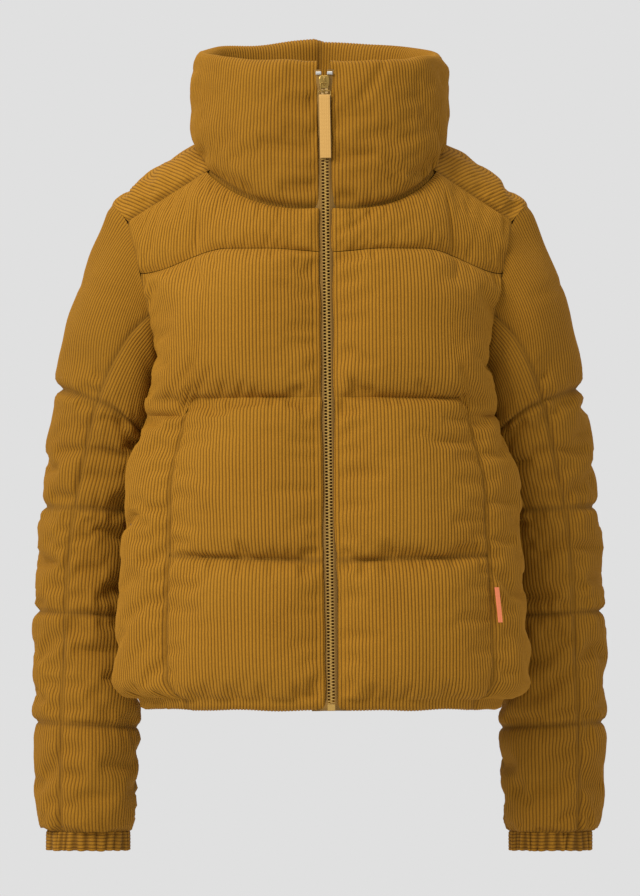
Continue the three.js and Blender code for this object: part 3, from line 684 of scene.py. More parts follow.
# Heights on a surface where its z meets target(x), found by halving.
def levelHeights(surface, s, target):
    low, high = np.full(s.shape, -560.0), np.full(s.shape, -58.0)
    for _ in range(26):
        middle = (low + high) / 2
        point = surface(s, middle)
        below = point[..., 2] < target(point[..., 0])
        low, high = np.where(below, middle, low), np.where(below, high, middle)
    return (low + high) / 2


# Rows from level to level; each level is one height for every column.
def gridBetween(surface, s, levels, counts):
    rows, marks = [], [0]
    for (low, high), count in zip(zip(levels[:-1], levels[1:]), counts):
        rows += [lerp(low, high, share) for share in np.linspace(0, 1, count, endpoint=False)]
        marks.append(marks[-1] + count)
    rows.append(levels[-1] * np.ones_like(s))
    heights = np.array(rows)
    return surface(np.repeat(s[None], len(heights), axis=0), heights), marks


def insetGrid(grid, depth):
    return grid + inward(grid) * np.asarray(depth)[..., None]


# Rows that turn the hem under, below the first row.
def curledHem(grid, surfaceRow):
    start = grid[:1]
    normal = outward(grid)[:1]
    curl = []
    for depth, z in quilting["hemCurl"]:
        row = start - normal * (depth - quilting["inset"])
        row[..., 2] = z + (start[..., 2] + 560)
        curl.append(row)
    return np.concatenate(curl + [grid[surfaceRow:]])


# Columns that turn the front's edge in beside the zip.
def foldedEdge(grid):
    edge = grid[:, :1]
    turned = []
    for depth, shift in quilting["foldDepths"]:
        column = edge + inward(edge) * depth
        column[..., 0] += shift
        turned.append(column)
    return np.concatenate(turned + [grid], axis=1)


def onSide(grid, side):
    grid = settled(grid, side)
    return grid if side > 0 else grid[:, ::-1]


def heldMask(shape, rows=(), columns=(), some=()):
    held = np.zeros(shape[:2])
    held[[0, -1]] = 1
    held[:, [0, -1]] = 1
    for row in rows:
        held[row] = 1
    for column in columns:
        held[:, column] = 1
    for row, amount in some:
        held[row] = np.maximum(held[row], amount)
    return held


def quiltTwo(x):
    return np.where(np.abs(x) < 400, -247.0 - 1.0 * smooth((np.abs(x) - 40) / 80), 0)


def quiltOne(x):
    x = np.abs(x)
    return -102 + 4 * smooth(x / 60) - 25 * smooth((x - 100) / 85)


def sideStep(s):
    return 18 * smooth((s - 0.46) / 0.06)


frontColumns = np.linspace(0, 0.5, 26)
sideColumns = np.linspace(0.5, 1, 22)
chestColumns = np.linspace(0, 1, 40)
folds = len(quilting["foldDepths"])
curls = len(quilting["hemCurl"])
panels = {}


def addPanel(name, base, held, pressure, slack, seed, **details):
    awaitCloth(name, base, held, pressure, slack, seed)
    if not name.startswith(("sleeve", "under", "collar")):
        details["out"] = -inward(base)
    panels[name] = {"base": base, **details}


def layFront(side, tag):
    seed = 11 if side > 0 else 31
    flip = side < 0

    def place(
        name, grid, marks, left, extra=0, lower=True, slack=quilting["slack"],
        pressure=quilting["pressure"]
    ):
        sunk = np.full(grid.shape[1], quilting["inset"])
        if left:
            sunk = 0.6 + (quilting["inset"] - 0.6) * smooth(np.arange(grid.shape[1]) / 4)
        grid = insetGrid(grid, np.broadcast_to(sunk, grid.shape[:2]))
        marks = list(marks)
        first = 0
        if lower:
            grid = curledHem(grid, 2)
            marks = [mark + curls - 2 for mark in marks]
            first = curls
        if left:
            grid = foldedEdge(grid)
        base = onSide(grid, side)
        edgeColumns = list(range(folds + 1)) if left else []
        if flip:
            edgeColumns = [base.shape[1] - 1 - column for column in edgeColumns]
        inner = marks[1:-1]
        held = heldMask(base.shape, list(range(first)) + inner, edgeColumns)
        origin = folds if left else 0
        if flip:
            origin = base.shape[1] - 1 - origin
        addPanel(
            name, base, held, pressure, slack, seed + extra, seams=inner, origin=origin, hem=lower,
            fold=left
        )

    q3 = -410 + 10 * frontColumns
    q2 = levelHeights(wholeFront, frontColumns, quiltTwo) - sideStep(frontColumns)
    grid, marks = gridBetween(wholeFront, frontColumns, [np.full_like(q3, -560.0), q3, q2], [20, 21])
    place("front_panel_" + tag, grid, marks, True)
    sideTop = levelHeights(wholeFront, sideColumns, quiltTwo) - sideStep(sideColumns)
    grid, marks = gridBetween(wholeFront, sideColumns, [np.full_like(sideTop, -560.0), sideTop], [38])
    place("side_panel_" + tag, grid, marks, False, 1)
    low = levelHeights(wholeFront, chestColumns, quiltTwo) - sideStep(chestColumns)
    high = levelHeights(wholeFront, chestColumns, quiltOne)
    grid, marks = gridBetween(wholeFront, chestColumns, [low, high], [19])
    place("chest_panel_" + tag, grid, marks, True, 2, lower=False)
    grid, marks = gridBetween(wholeFront, chestColumns, [high, np.full_like(high, -58.0)], [9])
    place("front_yoke_" + tag, grid, marks, True, 3, lower=False, slack=0.03, pressure=1.0)


def acrossBack(s, height):
    return mirrored(wholeBack(1 - np.abs(s), height), s)


def layBack():
    sigma = np.linspace(1, -1, 55)

    def at(z):
        return np.full_like(sigma, float(z))

    grid, marks = gridBetween(acrossBack, sigma, [at(-560), at(-408), at(-250), at(-110)], [18, 19, 16])
    grid = curledHem(insetGrid(grid, np.full(grid.shape[:2], quilting["inset"])), 2)
    marks = [mark + curls - 2 for mark in marks]
    held = heldMask(grid.shape, list(range(curls)) + marks[1:-1])
    addPanel(
        "back_panel", grid, held, quilting["pressure"], quilting["slack"], 51, seams=marks[1:-1],
        origin=27, hem=True
    )

    sigma = np.linspace(1, -1, 75)
    t = np.append(np.linspace(0, 1, 11), 1.07)
    point = mirrored(yokeSurface(*np.broadcast_arrays(1 - np.abs(sigma)[None], t[:, None])), sigma)
    sunk = lerp(tipInset(1 - np.abs(sigma))[None], quilting["inset"], smooth(t[:, None] / 0.3))
    grid = settled(insetGrid(point, sunk), 1)
    held = heldMask(grid.shape, [-2])
    over = smooth((grid[..., 1] + 12) / 60)
    ahead = 0.42 * np.abs(grid[..., 0]) - 0.91 * grid[..., 2]
    across = np.sign(-sigma)[None] * lerp(ahead, np.abs(grid[..., 0]) - 30, over)
    addPanel("shoulder_yoke", grid, held, 0.8, 0.015, 61, seams=[], origin=37, across=across)


sleeveSeam = {"turns": (255, 283, 283, 294, 291, 299, 302, 304, 308), "columns": 41}
sleeveQuilts = (-246, -356, -462, -574, -683)


def sleeveLine(level):
    def target(x):
        away = (286 - np.abs(x)) / 114
        return level - 6 * away - (36 * away**4 if level > -300 else 0)
    return target


def sleeveRowAt(turn, target):
    low, high = np.full(turn.shape, 0.2), np.full(turn.shape, 8.0)
    for _ in range(26):
        middle = (low + high) / 2
        point = sleeveSurface(turn, middle)
        above = point[..., 2] > target(point[..., 0])
        low, high = np.where(above, middle, low), np.where(above, high, middle)
    return (low + high) / 2


# Two panels: the upper one from the front seam over the arm to the underarm seam, the under one back
# to the front.
def laySleeve(side, tag):
    counts = (15, 13, 13, 13, 14)
    for part, columns in (("sleeve_", 31), ("under_sleeve_", 15)):
        shares = np.linspace(0, 1, columns)

        def turnsFrom(seam, part=part, shares=shares):
            return lerp(seam, 540, shares) if part == "sleeve_" else lerp(180, seam, shares)

        lines = [(turnsFrom(sleeveSeam["turns"][0]), np.zeros_like(shares), sleeveSeam["turns"][0])]
        for level in sleeveQuilts:
            seam = 290.0
            for _ in range(4):
                row = sleeveRowAt(np.atleast_1d(seam), sleeveLine(level))
                seam = float(np.interp(row[0], np.arange(9), sleeveSeam["turns"]))
            turns = turnsFrom(seam)
            lines.append((turns, sleeveRowAt(turns, sleeveLine(level)), seam))
        rows, marks, seams = [], [0], []
        for (turnA, rowA, seamA), (turnB, rowB, seamB), count in zip(lines[:-1], lines[1:], counts):
            for share in np.linspace(0, 1, count, endpoint=False):
                rows.append(sleeveSurface(lerp(turnA, turnB, share), lerp(rowA, rowB, share)))
                seams.append(lerp(seamA, seamB, share))
            marks.append(marks[-1] + count)
        rows.append(sleeveSurface(*lines[-1][:2]))
        seams.append(lines[-1][2])
        grid = np.array(rows)[::-1]
        seams = np.array(seams)[::-1]
        marks = [marks[-1] - mark for mark in marks][::-1]
        head = marks[-2] - 6
        for _ in range(30):
            grid[head:-1] += 0.25 * (grid[head - 1 : -2] + grid[head + 1 :] - 2 * grid[head:-1])
        near = smooth((np.arange(len(grid)) - (len(grid) - 6)) / 5)[:, None]
        across = np.broadcast_to(near, grid.shape[:2])[..., None]
        into = unit(lerp(-outward(grid), inward(grid), across))
        tip = tipInset(np.clip((lines[0][0] - 335) / 60, 0, 1) * 0.45)[None, :, None]
        grid = grid + into * lerp(1.2, tip, across)
        rim = grid[:1].copy()
        middle = vec(sleeveRingMiddle[0], sleeveRingMiddle[1], rim[..., 2])
        curl = [rim + (middle - rim) * 0.2 + vec(0, 0, 9.0), rim + (middle - rim) * 0.1 + vec(0, 0, 0.5)]
        grid = np.concatenate(curl + [grid])
        out = np.concatenate([-into[:1], -into[:1], -into])
        marks = [mark + 2 for mark in marks]
        base = onSide(grid, side)
        out = out if side > 0 else (out * vec(-1, 1, 1))[:, ::-1]
        held = heldMask(base.shape, [0, 1, 2] + marks[1:-1])
        seams = np.concatenate([[seams[0]] * 2, seams])
        last = base.shape[1] - 1
        origin = (360 - seams) / (540 - seams) * last if part == "sleeve_" else np.full(len(seams), last)
        origin = origin if side > 0 else last - origin
        seed = (71 if side > 0 else 81) + (5 if part == "under_sleeve_" else 0)
        addPanel(
            part + tag, base, held, quilting["pressure"] * 0.9, 0.06, seed, seams=[2] + marks[1:-1],
            origin=origin, out=out
        )


sleeveRingMiddle = (234, 47)
collarShape = {"outer": 15, "inner": 11, "columns": 48, "thick": 15, "bulge": 2.5}


def layCollar(side, tag):
    s = np.linspace(0, 1, collarShape["columns"])
    up = np.linspace(0, 1, collarShape["outer"])
    down = np.linspace(1, 0, collarShape["inner"])
    outer = collarSurface(*np.broadcast_arrays(s[None], up[:, None]))
    inner = collarSurface(*np.broadcast_arrays(s[None], down[:, None]))
    away = unit(outer * vec(1, 1, 0) - vec(0, -10, 0))
    swell = -5 + collarShape["bulge"] * np.sin(np.pi * np.clip(up * 1.15, 0, 1)) ** 0.7
    outer = outer + away * swell[:, None, None]
    level = unit(inner * vec(1, 1, 0) - vec(0, -10, 0))
    inner = inner - level * collarShape["thick"]
    top = (outer[-1] + inner[0]) / 2
    half = (outer[-1] - inner[0]) / 2
    curl = [
        top + half * math.cos(a) + vec(0, 0, 7 * math.sin(a)) for a in np.linspace(0.5, math.pi - 0.5, 4)
    ]
    outer[-1] -= vec(0, 0, 2.0)
    inner[0] -= vec(0, 0, 2.0)
    foot = outer[:1] - away[:1] * 2.5 + vec(0, 0, -10.0)
    grid = np.concatenate([foot, outer, np.array(curl), inner])
    grid = foldedCollar(grid)
    base = onSide(grid, side)
    rimRow = 1 + len(up) + 1
    edgeColumns = list(range(3))
    if side < 0:
        edgeColumns = [base.shape[1] - 1 - column for column in edgeColumns]
    held = heldMask(base.shape, [0, 1], edgeColumns, [(rimRow, 0.35), (rimRow + 1, 0.35)])
    origin = 2 if side > 0 else base.shape[1] - 3
    lengths = arcAcross(base, np.full(base.shape[0], origin))[1 + len(up) // 2]
    across = np.repeat(lengths[None], base.shape[0], axis=0)
    addPanel(
        "collar_" + tag, base, held, 1.0, 0.06, 91 if side > 0 else 95, seams=[1], origin=origin,
        across=across
    )


def foldedCollar(grid):
    edge = grid[:, :1]
    middle = (edge[1 + collarShape["outer"] // 2] + edge[-1 - collarShape["inner"] // 2]) / 2
    back = np.repeat((middle * vec(0, 1, 0))[None], len(edge), axis=0)
    turned = []
    for share in (0.55, 0.25):
        column = edge.copy()
        column[..., 1] = lerp(
            edge[..., 1], back[..., 1] + (edge[..., 2] - edge[:, :, 2].mean()) * 0.05, share
        )
        turned.append(column)
    return np.concatenate(turned + [grid], axis=1)


for side, tag in ((1, "left"), (-1, "right")):
    layFront(side, tag)
    laySleeve(side, tag)
    layCollar(side, tag)
layBack()
settledCloth = settleCloth()
print("padding settled on", len(settledCloth), "panels")


# Materials
def linear(code):
    channels = [int(code[i : i + 2], 16) / 255 for i in (1, 3, 5)]
    return [c / 12.92 if c <= 0.04045 else ((c + 0.055) / 1.055) ** 2.4 for c in channels] + [1.0]


# One node with its settings, socket values and links; a socket value that is a socket becomes a link.
def addNode(tree, kind, inputs=None, **settings):
    node = tree.nodes.new(kind)
    for key, value in settings.items():
        setattr(node, key, value)
    for key, value in (inputs or {}).items():
        if isinstance(value, bpy.types.NodeSocket):
            tree.links.new(value, node.inputs[key])
        else:
            node.inputs[key].default_value = value
    return node


def newMaterial(name):
    material = bpy.data.materials.new(name)
    material.use_nodes = True
    tree = material.node_tree
    shader = tree.nodes["Principled BSDF"]
    return material, tree, shader


def blendColours(tree, factor, a, b):
    node = addNode(tree, "ShaderNodeMix", data_type="RGBA", blend_type="MIX")
    for index, value in ((0, factor), (6, a), (7, b)):
        if isinstance(value, bpy.types.NodeSocket):
            tree.links.new(value, node.inputs[index])
        else:
            node.inputs[index].default_value = value
    return node.outputs[2]


# Brushed cotton corduroy: painted shade darkens the valleys against paler ridges and deepens beside
# seams; a soft bloom at the edges and a nap that never lies quite even.
def corduroyMaterial(name, look):
    material, tree, shader = newMaterial(name)
    place = addNode(tree, "ShaderNodeTexCoord").outputs["Object"]
    ridge = addNode(tree, "ShaderNodeAttribute", attribute_name="ridge").outputs["Fac"]
    seam = addNode(tree, "ShaderNodeAttribute", attribute_name="seam").outputs["Fac"]
    wear = addNode(
        tree, "ShaderNodeTexNoise", {"Vector": place, "Scale": 16.0, "Detail": 3.0, "Roughness": 0.6}
    )
    nap = addNode(
        tree, "ShaderNodeTexNoise", {"Vector": place, "Scale": 900.0, "Detail": 2.0, "Roughness": 0.7}
    )
    # Painted shade: the valleys between the ridges take the darker valley colour, the ridge tops the paler
    # one.
    height = addNode(
        tree, "ShaderNodeMapRange", {"Value": ridge, "From Min": 0.0, "From Max": 1.0},
        interpolation_type="SMOOTHSTEP"
    )
    colour = blendColours(tree, height.outputs[0], linear(look["valley"]), linear(look["ridge"]))
    patch = addNode(
        tree, "ShaderNodeMapRange",
        {"Value": wear.outputs["Fac"], "From Min": 0.3, "From Max": 0.7, "To Min": 0.0, "To Max": 0.16}
    )
    colour = blendColours(tree, patch.outputs[0], colour, linear(look["worn"]))
    fleck = addNode(
        tree, "ShaderNodeMapRange",
        {"Value": nap.outputs["Fac"], "From Min": 0.3, "From Max": 0.75, "To Min": 0.0, "To Max": 0.35}
    )
    colour = blendColours(tree, fleck.outputs[0], colour, linear(look["valley"]))
    # Painted shade: the colour darkens to the darkest corduroy colour beside seams, panel edges and pleat
    # folds.
    shadow = addNode(
        tree, "ShaderNodeMapRange",
        {"Value": seam, "From Min": 0.0, "From Max": 5.0, "To Min": 0.35, "To Max": 0.0}
    )
    colour = blendColours(tree, shadow.outputs[0], colour, linear(look["seamShade"]))
    bump = addNode(
        tree, "ShaderNodeBump", {"Height": nap.outputs["Fac"], "Strength": 0.5, "Distance": 0.0004}
    )
    tree.links.new(colour, shader.inputs["Base Color"])
    tree.links.new(bump.outputs[0], shader.inputs["Normal"])
    shader.inputs["Roughness"].default_value = look["roughness"]
    shader.inputs["Specular IOR Level"].default_value = 0.2
    shader.inputs["Sheen Weight"].default_value = look["sheen"]
    shader.inputs["Sheen Roughness"].default_value = 0.5
    shader.inputs["Sheen Tint"].default_value = linear(look["bloom"])
    return material


# The valley colour is painted shade between the ridges; the darkest colour is painted shade beside seams.
mustard = {"ridge": "#a57118", "valley": "#573505", "worn": "#ae7d22", "seamShade": "#382102", "bloom": "#c89a3c",
           "roughness": 0.9, "sheen": 0.1}
# A darker copy with less contrast for the sleeves and collar: painted shade.
shadeDarkened = dict(mustard, ridge="#9a6913", valley="#593606", worn="#a3741b")
# A darker copy for the facings inside the front: painted shade.
shaded = dict(mustard, ridge="#966416", worn="#a06e1c")
bodyCorduroy = corduroyMaterial("brushed cotton corduroy", mustard)
shadeDarkenedCorduroy = corduroyMaterial("brushed cotton corduroy, painted darker shade", shadeDarkened)
innerShadeCorduroy = corduroyMaterial("brushed cotton corduroy inside the collar", shaded)


def dress(piece, material, slot=None):
    piece.data.materials.clear()
    piece.data.materials.append(material)
    return piece


def bendFront(piece):
    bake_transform(piece)


def bendSleeve(piece):
    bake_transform(piece)


# Evens out the puff from one row on, where little filling lies.
def calmed(blown, base, first, times=10):
    puff = blown - base
    share = smooth((np.arange(len(puff)) - first) / 6)[1:-1, None, None]
    for _ in range(times):
        inner = puff[1:-1, 1:-1]
        mean = (puff[:-2, 1:-1] + puff[2:, 1:-1] + puff[1:-1, :-2] + puff[1:-1, 2:]) / 4
        puff[1:-1, 1:-1] = inner + share * 0.8 * (mean - inner)
    return base + puff


# Where the hanging cloth folds: points in x and z, then how deep and how wide, all in millimetres
placedFolds = {
    "collar_left": (
        (((64, 84), (52, 64), (39, 49), (20, 40)), 3.4, 5.5),
        (((20, -9), (56, -4), (83, -22), (100, -23), (122, -5)), 3.2, 5.0),
        (((24, -26), (56, -20), (82, -38), (102, -37)), 2.2, 5.0),
        (((96, 66), (108, 30), (114, 8)), 1.6, 7.0),
        (((70, 20), (92, 12), (112, 22)), 1.6, 6.0),
    ),
    "collar_right": (
        (((-30, 80), (-26, 72), (-12, 64)), 3.4, 5.0),
        (((-30, 51), (-7, 48)), 3.0, 4.5),
        (((-32, 18), (-7, 15)), 3.2, 4.5),
        (((-26, -6), (-7, -4)), 2.4, 4.0),
        (((-30, -19), (-7, -18)), 2.6, 4.0),
        (((-36, -38), (-7, -35)), 2.8, 4.5),
        (((-112, 60), (-96, 30), (-88, -4)), 1.4, 8.0),
        (((-112, -2), (-92, -26), (-60, -36)), 1.8, 6.0),
    ),
    "front_yoke_left": (
        (((20, -83), (39, -73), (57, -58)), 2.6, 4.5),
        (((62, -88), (92, -72)), 1.4, 6.0),
    ),
    "front_yoke_right": (
        (((-24, -84), (-52, -74), (-86, -66)), 1.3, 6.0),
    ),
    "chest_panel_right": (
        (((-150, -246), (-129, -216)), 2.4, 5.0),
        (((-187, -152), (-176, -168), (-162, -136)), 2.8, 5.0),
        (((-120, -238), (-108, -220)), 1.5, 5.0),
    ),
    "chest_panel_left": (
        (((160, -246), (142, -220)), 2.0, 5.0),
        (((186, -150), (178, -170), (165, -140)), 2.2, 5.0),
    ),
    "side_panel_right": (
        (((-178, -272), (-150, -277), (-132, -275)), 2.0, 4.5),
        (((-158, -454), (-172, -466)), 1.4, 5.0),
    ),
    "side_panel_left": (
        (((150, -270), (170, -273), (188, -270)), 2.0, 4.5),
        (((160, -430), (186, -424)), 1.6, 6.0),
    ),
    "front_panel_right": (
        (((-100, -416), (-124, -436), (-146, -452)), 2.2, 5.5),
        (((-96, -404), (-118, -386)), 1.4, 5.5),
    ),
    "front_panel_left": (
        (((104, -416), (122, -436)), 1.5, 5.5),
    ),
    "sleeve_right": (
        (((-224, -224), (-209, -240), (-196, -256)), 2.6, 5.0),
        (((-226, -246), (-209, -240), (-196, -228)), 2.2, 5.0),
        (((-238, -133), (-214, -142), (-194, -147)), 1.8, 6.0),
        (((-268, -372), (-240, -384), (-214, -372)), 1.8, 6.0),
        (((-276, -480), (-246, -492), (-216, -478)), 1.8, 6.0),
        (((-272, -590), (-240, -602), (-206, -590)), 1.8, 6.0),
    ),
    "sleeve_left": (
        (((226, -226), (210, -242), (199, -258)), 2.4, 5.0),
        (((240, -135), (216, -146)), 1.8, 6.0),
        (((270, -380), (244, -372), (216, -384)), 1.8, 6.0),
        (((272, -486), (244, -478), (216, -492)), 1.8, 6.0),
        (((268, -598), (240, -588), (206, -600)), 1.8, 6.0),
    ),
    "under_sleeve_right": (
        (((-203, -268), (-194, -284), (-186, -299)), 3.6, 5.0),
    ),
    "under_sleeve_left": (
        (((204, -270), (196, -284), (188, -297)), 3.2, 5.0),
    ),
}


def foldsOn(name):
    def shape(points):
        place = points[..., (0, 2)]
        total = np.zeros(points.shape[:2])
        for path, depth, width in placedFolds.get(name, ()):
            gap = np.full(total.shape, 999.0)
            for start, end in zip(path[:-1], path[1:]):
                start, way = np.array(start, float), np.array(end, float) - np.array(start, float)
                share = np.clip((place - start) @ way / (way @ way), 0, 1)
                gap = np.minimum(gap, np.linalg.norm(place - start - share[..., None] * way, axis=-1))
            total -= depth * (falling(gap, width) - 0.5 * falling(gap, 2.3 * width))
        return total * smooth((40 - points[..., 1]) / 20)
    return shape


placketStitch = ((5.5, 0.9, 1.5),)  # place, depth and width of the stitched line beside the zip


def makePanel(name, replaced, seed, grooves=(), edges=(1.5, 1.5), ends=(1.3, 1.3), dense=None,
              ridge=None, look=bodyCorduroy):
    panel = panels[name]
    base, blown, origin = panel["base"], settledCloth[name], panel["origin"]
    if np.ndim(origin) == 0:
        origin = np.full(base.shape[0], origin)
    if "sleeve" in name:
        blown = calmed(blown, base, panel["seams"][-1] + 2)
    if "collar" in name:
        blown = calmed(blown, base, collarShape["outer"] - 3, 6)
    piece = weave(name, base, blown, panel["seams"], origin, panel.get("across"), edges=edges, ends=ends,
                  shape=foldsOn(name), seed=seed, grooves=grooves, ridge=ridge, dense=dense,
                  out=panel.get("out"))
    dress(piece, look, "corduroy")
    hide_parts(*replaced)
    return piece


for side, tag in ((1, "left"), (-1, "right")):
    noFold = (0.0, 1.2) if side > 0 else (1.2, 0.0)
    zipEdge = {"grooves": placketStitch, "edges": noFold}
    for name, parts, seed, details in (
        ("front_panel", ("front_panel", "waist_fill", "hem_fill"), 100, dict(zipEdge, ends=(0, 1.3))),
        ("side_panel", ("side_panel", "side_fill"), 110, {"ends": (0, 1.3)}),
        ("chest_panel", ("chest_panel", "chest_fill"), 120, zipEdge),
        ("front_yoke", ("front_yoke",), 130, dict(zipEdge, ends=(1.3, 1.5))),
        ("collar", ("collar_outer", "collar_fill", "collar_inner"), 140,
         {"edges": (0, 0), "ends": (0, 0), "look": shadeDarkenedCorduroy}),
    ):
        replaced = [f"{part}_{tag}" for part in parts]
        bendFront(makePanel(f"{name}_{tag}", replaced, seed + side, **details))
    replaced = [f"sleeve_{tag}", f"sleeve_fill_upper_{tag}", f"sleeve_fill_lower_{tag}"]
    for part in ("sleeve_", "under_sleeve_"):
        bendSleeve(
            makePanel(part + tag, replaced, 150 + side, ends=(0, 1.3), ridge=0.62, look=shadeDarkenedCorduroy),
        )
backNodes = ["back_panel", "back_fill_hem", "back_fill_waist", "back_fill_upper"]
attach(makePanel("back_panel", backNodes, 160, ends=(0, 1.3)), "back_and_collar")
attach(makePanel("shoulder_yoke", ["shoulder_yoke", "yoke_fill"], 170, dense=0.95), "back_and_collar")
print("corduroy woven")


# Sheets inside the jacket
def sheetFromGrids(name, grids):
    points, quads = [], []
    for grid in grids:
        quads += gridQuads(grid.shape[0], grid.shape[1], sum(len(part) for part in points))
        points.append(grid.reshape(-1, 3))
    return plainMesh(name, np.concatenate(points), quads)


liningLook = {"depth": 17.5, "quilt": 2.2, "quiltWidth": 5, "crease": 1.1}


# An inner sheet, facing the wearer, with soft pads between its own stitched lines.
def quiltedSheet(surface, side, depth, seed, quilts=()):
    grid = onSide(surface, side) if side else surface
    normal = outward(grid)
    pad = np.zeros(grid.shape[:2])
    for level in quilts:
        pad -= liningLook["quilt"] * falling(grid[..., 2] - level, liningLook["quiltWidth"])
    pad += liningLook["crease"] * unevenness(grid, 38, seed, (1, 1, 2.2)) * 0.6
    pad += 0.5 * unevenness(grid, 14, seed + 5, (1, 1, 1.5))
    moved = grid - normal * (depth + pad)[..., None]
    return moved[:, ::-1]


# Polyester lining: smooth filament satin, a low broad shine with faint fine creases.
def satinMaterial(name, look):
    material, tree, shader = newMaterial(name)
    place = addNode(tree, "ShaderNodeTexCoord").outputs["Object"]
    crease = addNode(
        tree, "ShaderNodeTexNoise", {"Vector": place, "Scale": 60.0, "Detail": 4.0, "Roughness": 0.6}
    )
    share = addNode(
        tree, "ShaderNodeMapRange",
        {"Value": crease.outputs["Fac"], "From Min": 0.3, "From Max": 0.7, "To Max": 0.3}
    )
    colour = blendColours(tree, share.outputs[0], linear(look["base"]), linear(look["fold"]))
    bump = addNode(
        tree, "ShaderNodeBump", {"Height": crease.outputs["Fac"], "Strength": 0.25, "Distance": 0.002}
    )
    tree.links.new(colour, shader.inputs["Base Color"])
    tree.links.new(bump.outputs[0], shader.inputs["Normal"])
    shader.inputs["Roughness"].default_value = look["roughness"]
    shader.inputs["Sheen Weight"].default_value = 0.1
    return material


satin = satinMaterial("filament polyester satin", {"base": "#86591d", "fold": "#6f4714", "roughness": 0.42})
# The wadding cover's dark brown is painted shade where it shows between two panels.
waddingAndSeamShade = satinMaterial("wadding cover", {"base": "#6a430f", "fold": "#553409", "roughness": 0.9})


def rowsBetween(surface, s, low, high, count):
    heights = np.linspace(low, high, count)
    return surface(
        np.repeat(np.asarray(s)[None], count, axis=0), np.repeat(heights[:, None], len(s), axis=1)
    )


# Round the body from one pocket seam to the other; s runs from 1.5 to -1.5 past the side seams at 1
# and -1.
def wrapSurface(s, height):
    front = wholeFront(np.clip(2 - np.abs(s), 0, 1), height)
    back = wholeBack(np.clip(1 - np.abs(s), 0, 1), height)
    return mirrored(np.where((np.abs(s) > 1)[..., None], front, back), s)


def finishSheet(piece, look, replaced):
    dress(piece, *look)
    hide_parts(replaced)
    return piece


satinLook = (satin, "lining")
liningQuilts = (-480, -400, -325, -250, -180, -120)
depth = liningLook["depth"]
for side, tag in ((1, "left"), (-1, "right")):
    grid = rowsBetween(wholeFront, np.linspace(0.1, 0.52, 24), -548, -66, 74)
    grid = quiltedSheet(grid, side, depth, 200 + side, liningQuilts)
    piece = sheetFromGrids("front_satin_" + tag, [grid])
    finishSheet(piece, satinLook, "front_lining_" + tag)
    bendFront(piece)
    strip = onSide(rowsBetween(wholeFront, np.linspace(0.0, 0.14, 12), -552, -62, 74), side)
    strip = strip - outward(strip) * depth
    strip = strip[:, ::-1]
    origin = np.full(74, 11 if side > 0 else 0)
    piece = weave("facing_" + tag, strip, strip, [], origin, seed=210 + side, ridge=0.6)
    look = (innerShadeCorduroy, "corduroy_shade")
    finishSheet(piece, look, "facing_" + tag)
    bendFront(piece)
    bag = rowsBetween(wholeFront, np.linspace(0.26, 0.5, 14), -478, -274, 26)
    bag = onSide(bag, side)
    near, far = bag - outward(bag) * 12.5, bag - outward(bag) * 15.5
    fold = [near, far[:, ::-1]] if side < 0 else [near[:, ::-1], far]
    pouch = np.concatenate(fold, axis=1)
    pouch = pouch - outward(pouch) * (0.4 * unevenness(pouch, 40, 220 + side))[..., None]
    piece = sheetFromGrids("pocket_satin_" + tag, [pouch])
    finishSheet(piece, satinLook, "pocket_bag_" + tag)
    bendFront(piece)
    turns = np.linspace(180, 540, 46)
    tube = np.array([sleeveSurface(turns, np.full(turns.shape, row)) for row in np.linspace(7.95, 0.12, 84)])
    tube = quiltedSheet(tube, side, 13.5, 230 + side, (-300, -400, -510, -620))
    piece = sheetFromGrids("sleeve_satin_" + tag, [tube])
    finishSheet(piece, satinLook, "sleeve_lining_" + tag)
    bendSleeve(piece)
wrap = np.concatenate(
    [np.linspace(1.5, 1.0, 20, endpoint=False), np.linspace(1, -1, 57), np.linspace(-1.0, -1.5, 21)[1:]]
)
grid = quiltedSheet(rowsBetween(wrapSurface, wrap, -548, -251, 46), 0, depth, 240, liningQuilts)
piece = sheetFromGrids("body_satin", [grid])
finishSheet(piece, satinLook, "body_lining")
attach(piece, "back_and_collar")
lower = quiltedSheet(
    rowsBetween(acrossBack, np.linspace(0.98, -0.98, 55), -262, -107, 24), 0, depth, 250, liningQuilts
)
sigma, share = np.linspace(0.98, -0.98, 75), np.linspace(-0.06, 1, 15)
top = mirrored(yokeSurface(*np.broadcast_arrays(1 - np.abs(sigma)[None], share[:, None])), sigma)
upper = quiltedSheet(top, 0, depth, 260)
piece = sheetFromGrids("back_satin", [lower, upper])
finishSheet(piece, satinLook, "back_lining")
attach(piece, "back_and_collar")


# A thin dark sheet stands for the wadding and closes what shows through between two panels; its dark brown
# is painted shade in the seams
def waddingCover(name, names, bend, depth=6.0):
    grids = []
    for label in names:
        panel = panels[label]
        grid = panel["base"][curls:] if panel.get("hem") else panel["base"]
        if panel.get("fold"):
            grid = grid[:, folds:] if panel["origin"] < 10 else grid[:, : -folds]
        wide = widened(grid, 0.5)
        grids.append(wide - outward(wide) * depth)
    piece = dress(sheetFromGrids(name, grids), waddingAndSeamShade, "fill")
    bend(piece)
    return piece


for tag in ("left", "right"):
    names = [part + tag for part in ("front_panel_", "side_panel_", "chest_panel_", "front_yoke_")]
    waddingCover("wadding_front_" + tag, names, lambda piece, tag=tag: bendFront(piece))
    waddingCover(
        "wadding_sleeve_" + tag, ["sleeve_" + tag, "under_sleeve_" + tag], lambda piece,
        tag=tag: bendSleeve(piece), 6.5
    )
waddingCover(
    "wadding_back", ["back_panel", "shoulder_yoke"], lambda piece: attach(piece, "back_and_collar")
)
print("linings and wadding laid")


# Cuffs: a band of the same corduroy, its ridges running round, drawn up small by elastic
cuffLook = {
    "columns": 300, "top": -681, "bottom": -702.5, "middle": (233, 47), "half": (42, 39), "wale": 3.2,
    "pleat": 2.4
}


